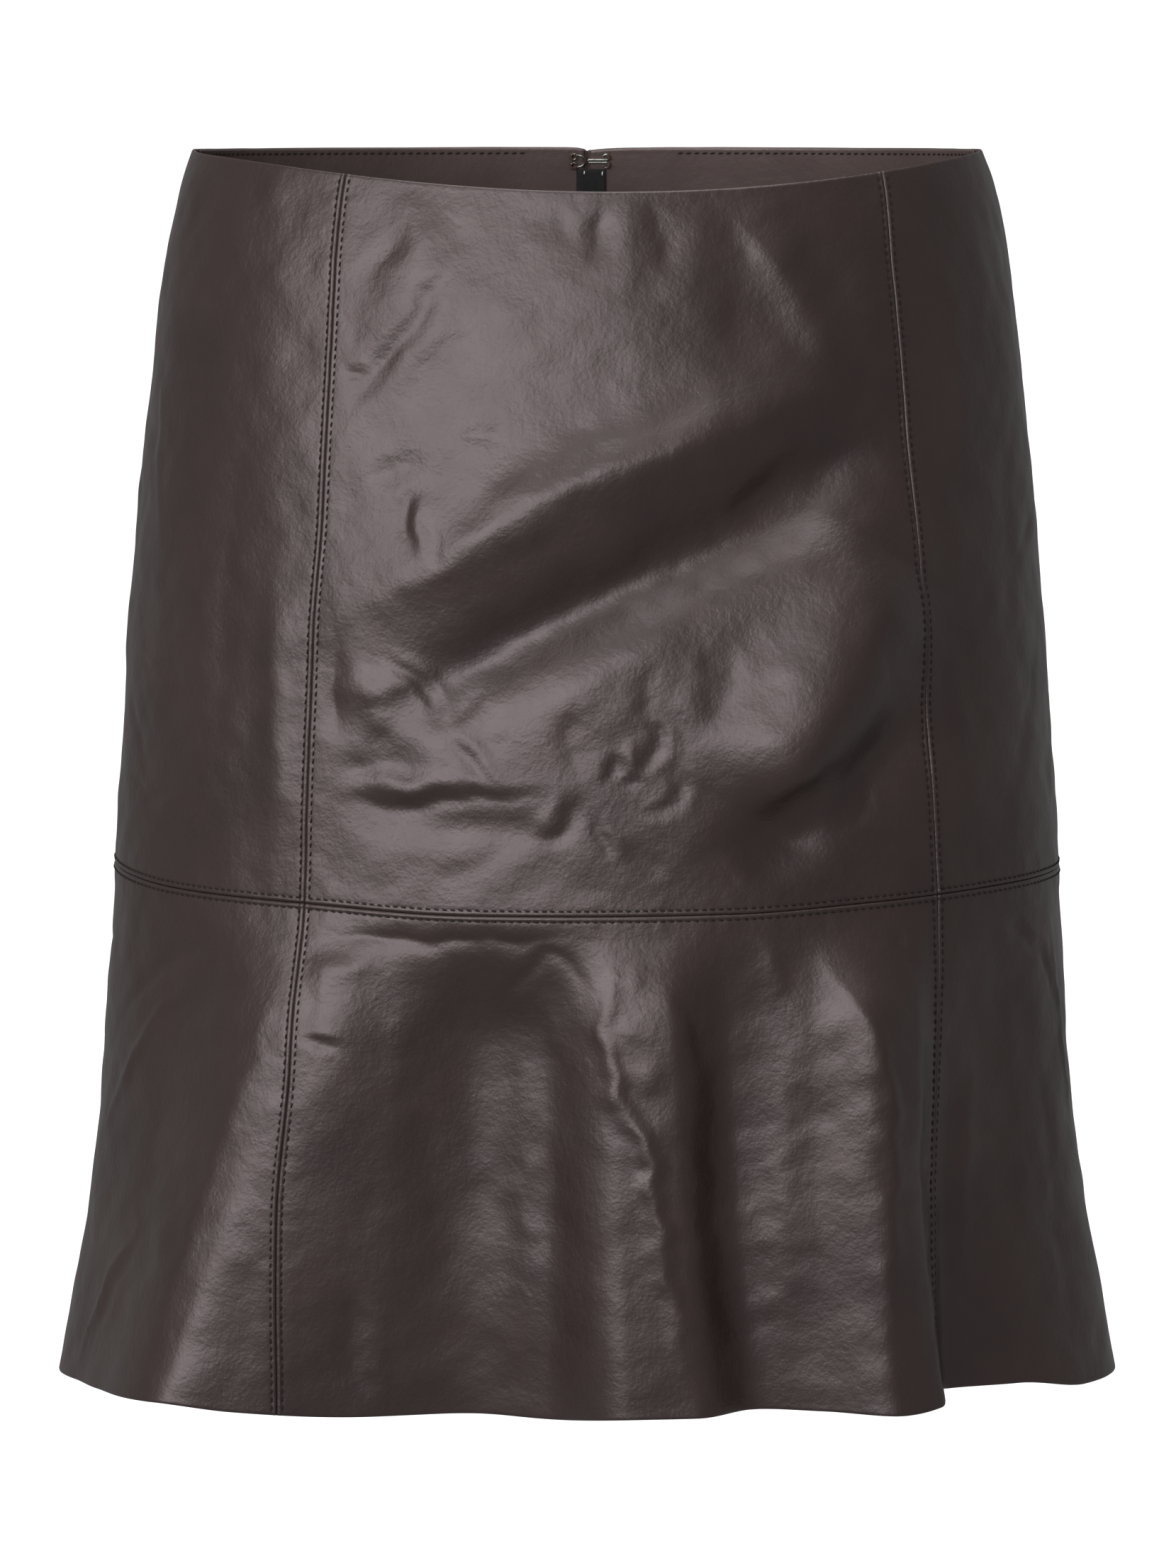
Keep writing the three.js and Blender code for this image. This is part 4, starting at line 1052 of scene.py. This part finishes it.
for name, rows in SEAM_STITCHES:
    parts = [stitch_row(panels[panel], edge, STITCH_FROM_SEAM, draw) for panel, edge in rows]
    starts, ends, normals = (np.vstack(v) for v in zip(*parts))
    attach(capsules(name, starts, ends, normals, STITCH_RADIUS, brown_thread_painted_shade), "skirt")


def layer(phi, z, inward):
    """A point so far in from the frame's outer face, measured level."""
    return skin(phi, z) - level_normal(skin, phi, z) * np.asarray(inward)[..., None]


def strip_grid(phi_from, phi_to, top, bottom, columns, rows):
    share = np.linspace(0, 1, columns)[:, None]
    down = np.linspace(0, 1, rows)[None, :] + 0 * share
    phi = mix(phi_from, phi_to, share) + 0 * down
    return phi, mix(top(phi), bottom(phi), down)


def edge_rounding(count, length, reach):
    """Shares along a length with lines close to both ends."""
    ends = np.array([0, 0.12, 0.35, 0.8, 1.4, 2.4, 3.6]) / length
    middle = np.linspace(ends[-1], 1 - ends[-1], count)
    return np.concatenate([ends[:-1], middle, 1 - ends[-2::-1]])


# Back facing
UNDERSTITCH = 1.9
UNDERSTITCH_FROM_ZIP = 23
facing_rows = []
for name, phi_from, phi_to in FACINGS:
    speed = float(np.linalg.norm(skin(phi_from + 1, -20.0) - skin(phi_from, -20.0)))
    keep_from = (FACING_BACK_EDGE if phi_from == -180 else 0.1) / speed
    keep_to = (FACING_BACK_EDGE if phi_to == 180 else 0.1) / speed
    girth = (phi_to - phi_from) * speed
    across = edge_rounding(int(girth / 2.4), girth, 3.6)[:, None]
    down = edge_rounding(20, FACING_DEPTH, 3.6)[None, :]
    phi = mix(phi_from + keep_from, phi_to - keep_to, across) + 0 * down
    top = waist_edge(phi) - FACING_BELOW_EDGE
    z = top - down * (FACING_DEPTH - FACING_BELOW_EDGE)
    below = top - z
    ends = np.minimum(across, 1 - across) * girth + 0 * down
    rolled = 0.35 * np.clip(1 - np.minimum(np.minimum(below, FACING_DEPTH - 0.4 - below), ends) / 0.8, 0, 1) ** 2
    bed = 0.22 * np.exp(-(((below - UNDERSTITCH) / 0.5) ** 2))
    rolling = 0.10 * np.sin(FOLD_GIRTH * np.radians(phi) * 2 * np.pi / 31 + below / 6)
    thick = FACING_WALL * 0.94 - rolled - bed + rolling * smooth(below / 8)
    face_in = layer(phi, z, FACING_INSET + thick)
    face_out = layer(phi, z, FACING_INSET + 0 * thick)
    coarse = np.ix_(thinned(phi.shape[0], INNER_EVERY), thinned(phi.shape[1], INNER_EVERY))
    piece = shell("inside_" + name, face_in[::-1], face_out[coarse][::-1], [facing_leather, flesh])
    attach(piece, "skirt")
    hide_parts(name)
    across = np.linspace(phi_from, phi_to, CUT_COLUMNS)
    middle = layer(across, waist_edge(across) - FACING_DEPTH / 2, FACING_INSET) * MM
    width = float(np.linalg.norm(np.diff(middle, axis=0), axis=-1).sum())
    stop = UNDERSTITCH_FROM_ZIP / speed
    line = np.linspace(phi_from + (stop if phi_from == -180 else 0.4), phi_to - (stop if phi_to == 180 else 0.4), 1400)
    level = waist_edge(line) - FACING_BELOW_EDGE - UNDERSTITCH
    facing_rows.append((layer(line, level, FACING_INSET + FACING_WALL * 0.94 - 0.1 + 0 * line),
                        -level_normal(skin, line, level)))

starts, ends, normals = [], [], []
for points, facing_normals in facing_rows:
    travelled = np.concatenate([[0], np.cumsum(np.linalg.norm(np.diff(points, axis=0), axis=1))])
    begin = np.arange(0.5, travelled[-1] - STITCH_LENGTH, STITCH_PITCH)
    for shift, into in ((0, starts), (STITCH_LENGTH, ends)):
        place = begin + shift
        into.append(np.stack([np.interp(place, travelled, points[:, k]) for k in range(3)], 1))
    normals.append(np.stack([np.interp(begin, travelled, facing_normals[:, k]) for k in range(3)], 1))
slanted = np.array([0, 0, STITCH_SLANT])
starts, ends, normals = np.vstack(starts) + slanted, np.vstack(ends) - slanted, np.vstack(normals)
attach(capsules("stitches_facing", starts, ends, normals, STITCH_RADIUS, brown_thread_painted_shade), "skirt")


def sweep(name, points, radius, material, sides=10, closed_ends=True):
    """A round wire through points in millimetres, each ring square to the path."""
    points = np.asarray(points, float)
    ahead = np.gradient(points, axis=0)
    ahead /= np.linalg.norm(ahead, axis=1, keepdims=True)
    up = np.array([0.0, 0.0, 1.0])
    if abs(ahead[0] @ up) > 0.9:
        up = np.array([1.0, 0.0, 0.0])
    rings = []
    for point, direction in zip(points, ahead):
        up = up - (up @ direction) * direction
        up /= np.linalg.norm(up)
        side = np.cross(direction, up)
        turn = np.arange(sides) * 2 * np.pi / sides
        rings.append(point + radius * (np.cos(turn)[:, None] * up + np.sin(turn)[:, None] * side))
    vertices = np.vstack(rings)
    faces = []
    for r in range(len(points) - 1):
        for k in range(sides):
            a, b = r * sides + k, r * sides + (k + 1) % sides
            faces.append(np.array([a, b, b + sides, a + sides]))
    faces.append(np.arange(sides)[::-1])
    faces.append(np.arange(sides) + (len(points) - 1) * sides)
    return make_mesh(name, vertices, faces, [material])


# Frames on the centre back seam: x across, out of the cloth, and up along it
def back_frame(level, reach=5.0):
    centre = skin(180.0, level)
    above, below = skin(180.0, level + reach), skin(180.0, level - reach)
    up = (above - below) / np.linalg.norm(above - below)
    out = np.cross(up, np.array([1.0, 0.0, 0.0]))
    out = out if out[1] > 0 else -out
    return centre, out, up


def on_back(level, x, out, up):
    centre, out_axis, up_axis = back_frame(level)
    x, out, up = (np.asarray(v, float)[..., None] for v in np.broadcast_arrays(x, out, up))
    return centre + x * np.array([1.0, 0, 0]) + out * out_axis + up * up_axis


# Hook and eye
HOOK_LEVEL = -10.8
WIRE = {"radius": 0.35, "ring": 1.05, "out": -(FACING_INSET + FACING_WALL + 0.3 + 0.35)}
HOOK = {"ring_x": 6.9, "ring_z": 1.5, "bend": 0.5, "bend_x": 0.9}
EYE = {"ring_x": -4.9, "ring_z": 1.7, "bow": 2.1, "bow_x": -2.9}


def arc(x, z, radius, start, end, count):
    turn = np.radians(np.linspace(start, end, count + 1))
    return [(x + radius * math.cos(t), z + radius * math.sin(t)) for t in turn]


shoulder = mix(HOOK["bend_x"], HOOK["ring_x"], 0.6)
hook_path = [*arc(HOOK["ring_x"], HOOK["ring_z"], WIRE["ring"], 170, -110, 8), (shoulder, HOOK["bend"]),
             *arc(HOOK["bend_x"], 0, HOOK["bend"], 90, 270, 4), (shoulder, -HOOK["bend"]),
             *arc(HOOK["ring_x"], -HOOK["ring_z"], WIRE["ring"], 110, -170, 8)]
eye_path = [*arc(EYE["ring_x"], EYE["ring_z"], WIRE["ring"], -20, -270, 8),
            *arc(EYE["bow_x"], 0, EYE["bow"], 90, -90, 8),
            *arc(EYE["ring_x"], -EYE["ring_z"], WIRE["ring"], 270, 20, 8)]
for name, path in (("hook", hook_path), ("eye", eye_path)):
    flat_path = smooth_line(path, 6)
    wire = sweep("wire_" + name, on_back(HOOK_LEVEL, flat_path[:, 0], WIRE["out"], flat_path[:, 1]),
                 WIRE["radius"], nickel)
    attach(wire, "skirt")
    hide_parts(name)

# Thread that holds the rings down
starts, ends, normals = [], [], []
inward = -back_frame(HOOK_LEVEL)[1]
for ring_x, ring_z, first, last in ((HOOK["ring_x"], HOOK["ring_z"], -30, 60), (HOOK["ring_x"], -HOOK["ring_z"], -60, 30),
                                    (EYE["ring_x"], EYE["ring_z"], 20, 250), (EYE["ring_x"], -EYE["ring_z"], -250, -20)):
    for turn in np.radians(np.linspace(first, last, 7)):
        near, far = 0.35, 1.75 + draw.uniform(-0.1, 0.3)
        for reach, into in ((near, starts), (far, ends)):
            into.append(on_back(HOOK_LEVEL, ring_x + reach * math.cos(turn), WIRE["out"] - 0.12,
                                ring_z + reach * math.sin(turn)))
        normals.append(inward)
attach(capsules("thread_on_rings", starts, ends, normals, 0.3, knot_thread, arch=0.42), "skirt")

# Label: a folded piece of satin held by two tacks
LABEL = {"left": -3.9, "right": 7.0, "top": -14.6, "bottom": -27.4, "wall": 0.5}
LABEL_INSET = FACING_INSET + FACING_WALL + 0.32


def angle_at(x, z):
    return 180 - np.degrees(np.arcsin(x / half_width(z)))


across = edge_rounding(8, LABEL["right"] - LABEL["left"], 3.6)[:, None]
down = edge_rounding(8, LABEL["top"] - LABEL["bottom"], 3.6)[None, :]
label_x = mix(LABEL["left"], LABEL["right"], across) + 0 * down
label_z = mix(LABEL["top"], LABEL["bottom"], down) + 0 * across
phi = angle_at(label_x, LABEL["top"])
from_edge = np.minimum(np.minimum(label_x - LABEL["left"], LABEL["right"] - label_x),
                       np.minimum(LABEL["top"] - label_z, label_z - LABEL["bottom"]))
thick = LABEL["wall"] * (0.35 + 0.65 * smooth(from_edge / 0.7)) + 0.12 * np.sin(label_z / 2.6 + label_x / 4)
face_in = layer(phi, label_z, LABEL_INSET + thick)
face_out = layer(phi, label_z, LABEL_INSET + 0 * thick)
label_piece = shell("satin_label", face_in, face_out, [satin, satin])
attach(label_piece, "skirt")
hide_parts("label")
tack_starts, tack_ends, tack_normals = [], [], []
for x, z, length in ((-1.0, -15.9, 1.3), (5.7, -16.2, 1.9)):
    for height, into in ((length / 2, tack_starts), (-length / 2, tack_ends)):
        into.append(layer(angle_at(np.array(x + 0.1 * height), z), np.array(z + height), np.array(LABEL_INSET + 0.5)))
    tack_normals.append(inward)
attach(capsules("label_tacks", tack_starts, tack_ends, tack_normals, 0.17, white_thread), "skirt")

# Zip: tapes, coil, slider and pull
TAPE = {"wall": 0.7, "width": 12, "edge": 0.9, "inset": FACING_INSET + 0.25}
for name, sign in (("zip_tape_left", -1), ("zip_tape_right", 1)):
    share = edge_rounding(5, TAPE["width"], 2.0)[:, None]
    down = np.linspace(0, 1, 64)[None, :]
    z = mix(ZIP_TOP, ZIP_BOTTOM, down) + 0 * share
    speed = np.linalg.norm(skin(180.0 + 0 * z, z) - skin(179.0 + 0 * z, z), axis=-1)
    phi = sign * (180 - mix(TAPE["edge"], TAPE["width"], share) / speed)
    ripple = 0.08 * np.sin(z / 4.3) * share
    face_in = layer(phi, z, TAPE["inset"] + TAPE["wall"] + ripple)
    face_out = layer(phi, z, TAPE["inset"] + 0 * ripple)
    order = slice(None, None, -1) if sign < 0 else slice(None)
    tape = shell(name + "_cloth", face_in[order], face_out[order], [zip_cloth, zip_cloth])
    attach(tape, "skirt")
    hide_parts(name)

COIL = {"top": -40, "bottom": -204, "pitch": 1.3, "radius": 0.55, "wire": 0.2, "inset": 2.15}
turns = (COIL["top"] - COIL["bottom"]) / COIL["pitch"]
along = np.linspace(0, 1, int(turns * 10))
height = mix(COIL["top"], COIL["bottom"], along)
spin = 2 * np.pi * turns * along
coil_points = skin(180.0 + 0 * height, height)
coil_points[:, 0] += COIL["radius"] * np.cos(spin)
coil_points[:, 1] -= COIL["inset"] + COIL["radius"] * np.sin(spin)
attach(sweep("zip_coil", coil_points, COIL["wire"], zip_cloth, sides=5), "skirt")


def rounded_copy(node, name, width, material):
    """A copy of a hard CAD piece with its edges rounded."""
    copy = bpy.data.objects.new(name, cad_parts[node].data.copy())
    bpy.context.scene.collection.objects.link(copy)
    copy.data.materials.clear()
    copy.data.materials.append(material)
    work = bmesh.new()
    work.from_mesh(copy.data)
    bmesh.ops.remove_doubles(work, verts=work.verts, dist=1e-6)
    bmesh.ops.dissolve_limit(work, angle_limit=math.radians(4), verts=work.verts, edges=work.edges)
    work.to_mesh(copy.data)
    work.free()
    bevel = copy.modifiers.new("rounded", "BEVEL")
    bevel.width = width
    bevel.segments = 3
    bevel.limit_method = "ANGLE"
    bevel.angle_limit = math.radians(35)
    copy.data.polygons.foreach_set("use_smooth", [True] * len(copy.data.polygons))
    weighted = copy.modifiers.new("weighted", "WEIGHTED_NORMAL")
    weighted.keep_sharp = False
    return copy


for node, body, width in (("zip_slider", "skirt", 0.00018), ("zip_pull", "pull", 0.00022)):
    piece = rounded_copy(node, node + "_metal", width, nickel)
    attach(piece, body)
    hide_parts(node)

# Floor, lights and camera
FLOOR_LEVEL = -0.9
FLOOR_SIZE = 60
bpy.ops.mesh.primitive_plane_add(size=FLOOR_SIZE, location=(0, 0, FLOOR_LEVEL))
floor = bpy.context.object
floor.name = "floor"
pale, pale_shader = new_material("pale_floor", 0.9, specular=0.1)
pale_shader.inputs["Base Color"].default_value = (0.93, 0.93, 0.93, 1)
floor.data.materials.append(pale)
floor.visible_glossy = False

world = bpy.data.worlds.new("studio")
bpy.context.scene.world = world
world.use_nodes = True
world.node_tree.nodes["Background"].inputs["Color"].default_value = (1, 1, 1, 1)
world.node_tree.nodes["Background"].inputs["Strength"].default_value = WORLD_LIGHT
bpy.context.scene.view_settings.view_transform = "Standard"


def softbox(name, azimuth, elevation, distance, size, power, target=(0, 0, -0.2)):
    """A square light at an angle round the object, turned to face it."""
    a, e = math.radians(azimuth), math.radians(elevation)
    back = np.array([math.sin(a) * math.cos(e), -math.cos(a) * math.cos(e), math.sin(e)])
    light = bpy.data.lights.new(name, "AREA")
    light.shape = "RECTANGLE"
    light.size, light.size_y = size
    light.energy = power
    lamp = bpy.data.objects.new(name, light)
    bpy.context.scene.collection.objects.link(lamp)
    lamp.location = np.array(target) + back * distance
    direction = -back
    lamp.rotation_mode = "QUATERNION"
    from mathutils import Vector
    lamp.rotation_quaternion = Vector(direction).to_track_quat("-Z", "Y")
    return lamp


for light in SOFTBOXES:
    softbox(*light)
sun = bpy.data.lights.new("overhead", "SUN")
sun.energy = OVERHEAD
sun.angle = math.radians(50)
overhead = bpy.data.objects.new("overhead", sun)
bpy.context.scene.collection.objects.link(overhead)
overhead.location = (0, 0, 5)

CAMERA_PLACE = (0.000385, -7.0, 0.4945)
CAMERA_PITCH = 5.912
CAMERA_LENS = 446.445
camera_data = bpy.data.cameras.new("camera")
camera_data.lens = CAMERA_LENS
camera_data.sensor_width = 36
camera_data.clip_end = 100
camera = bpy.data.objects.new("camera", camera_data)
bpy.context.scene.collection.objects.link(camera)
camera.location = CAMERA_PLACE
camera.rotation_euler = (math.radians(90 - CAMERA_PITCH), 0, 0)
bpy.context.scene.camera = camera
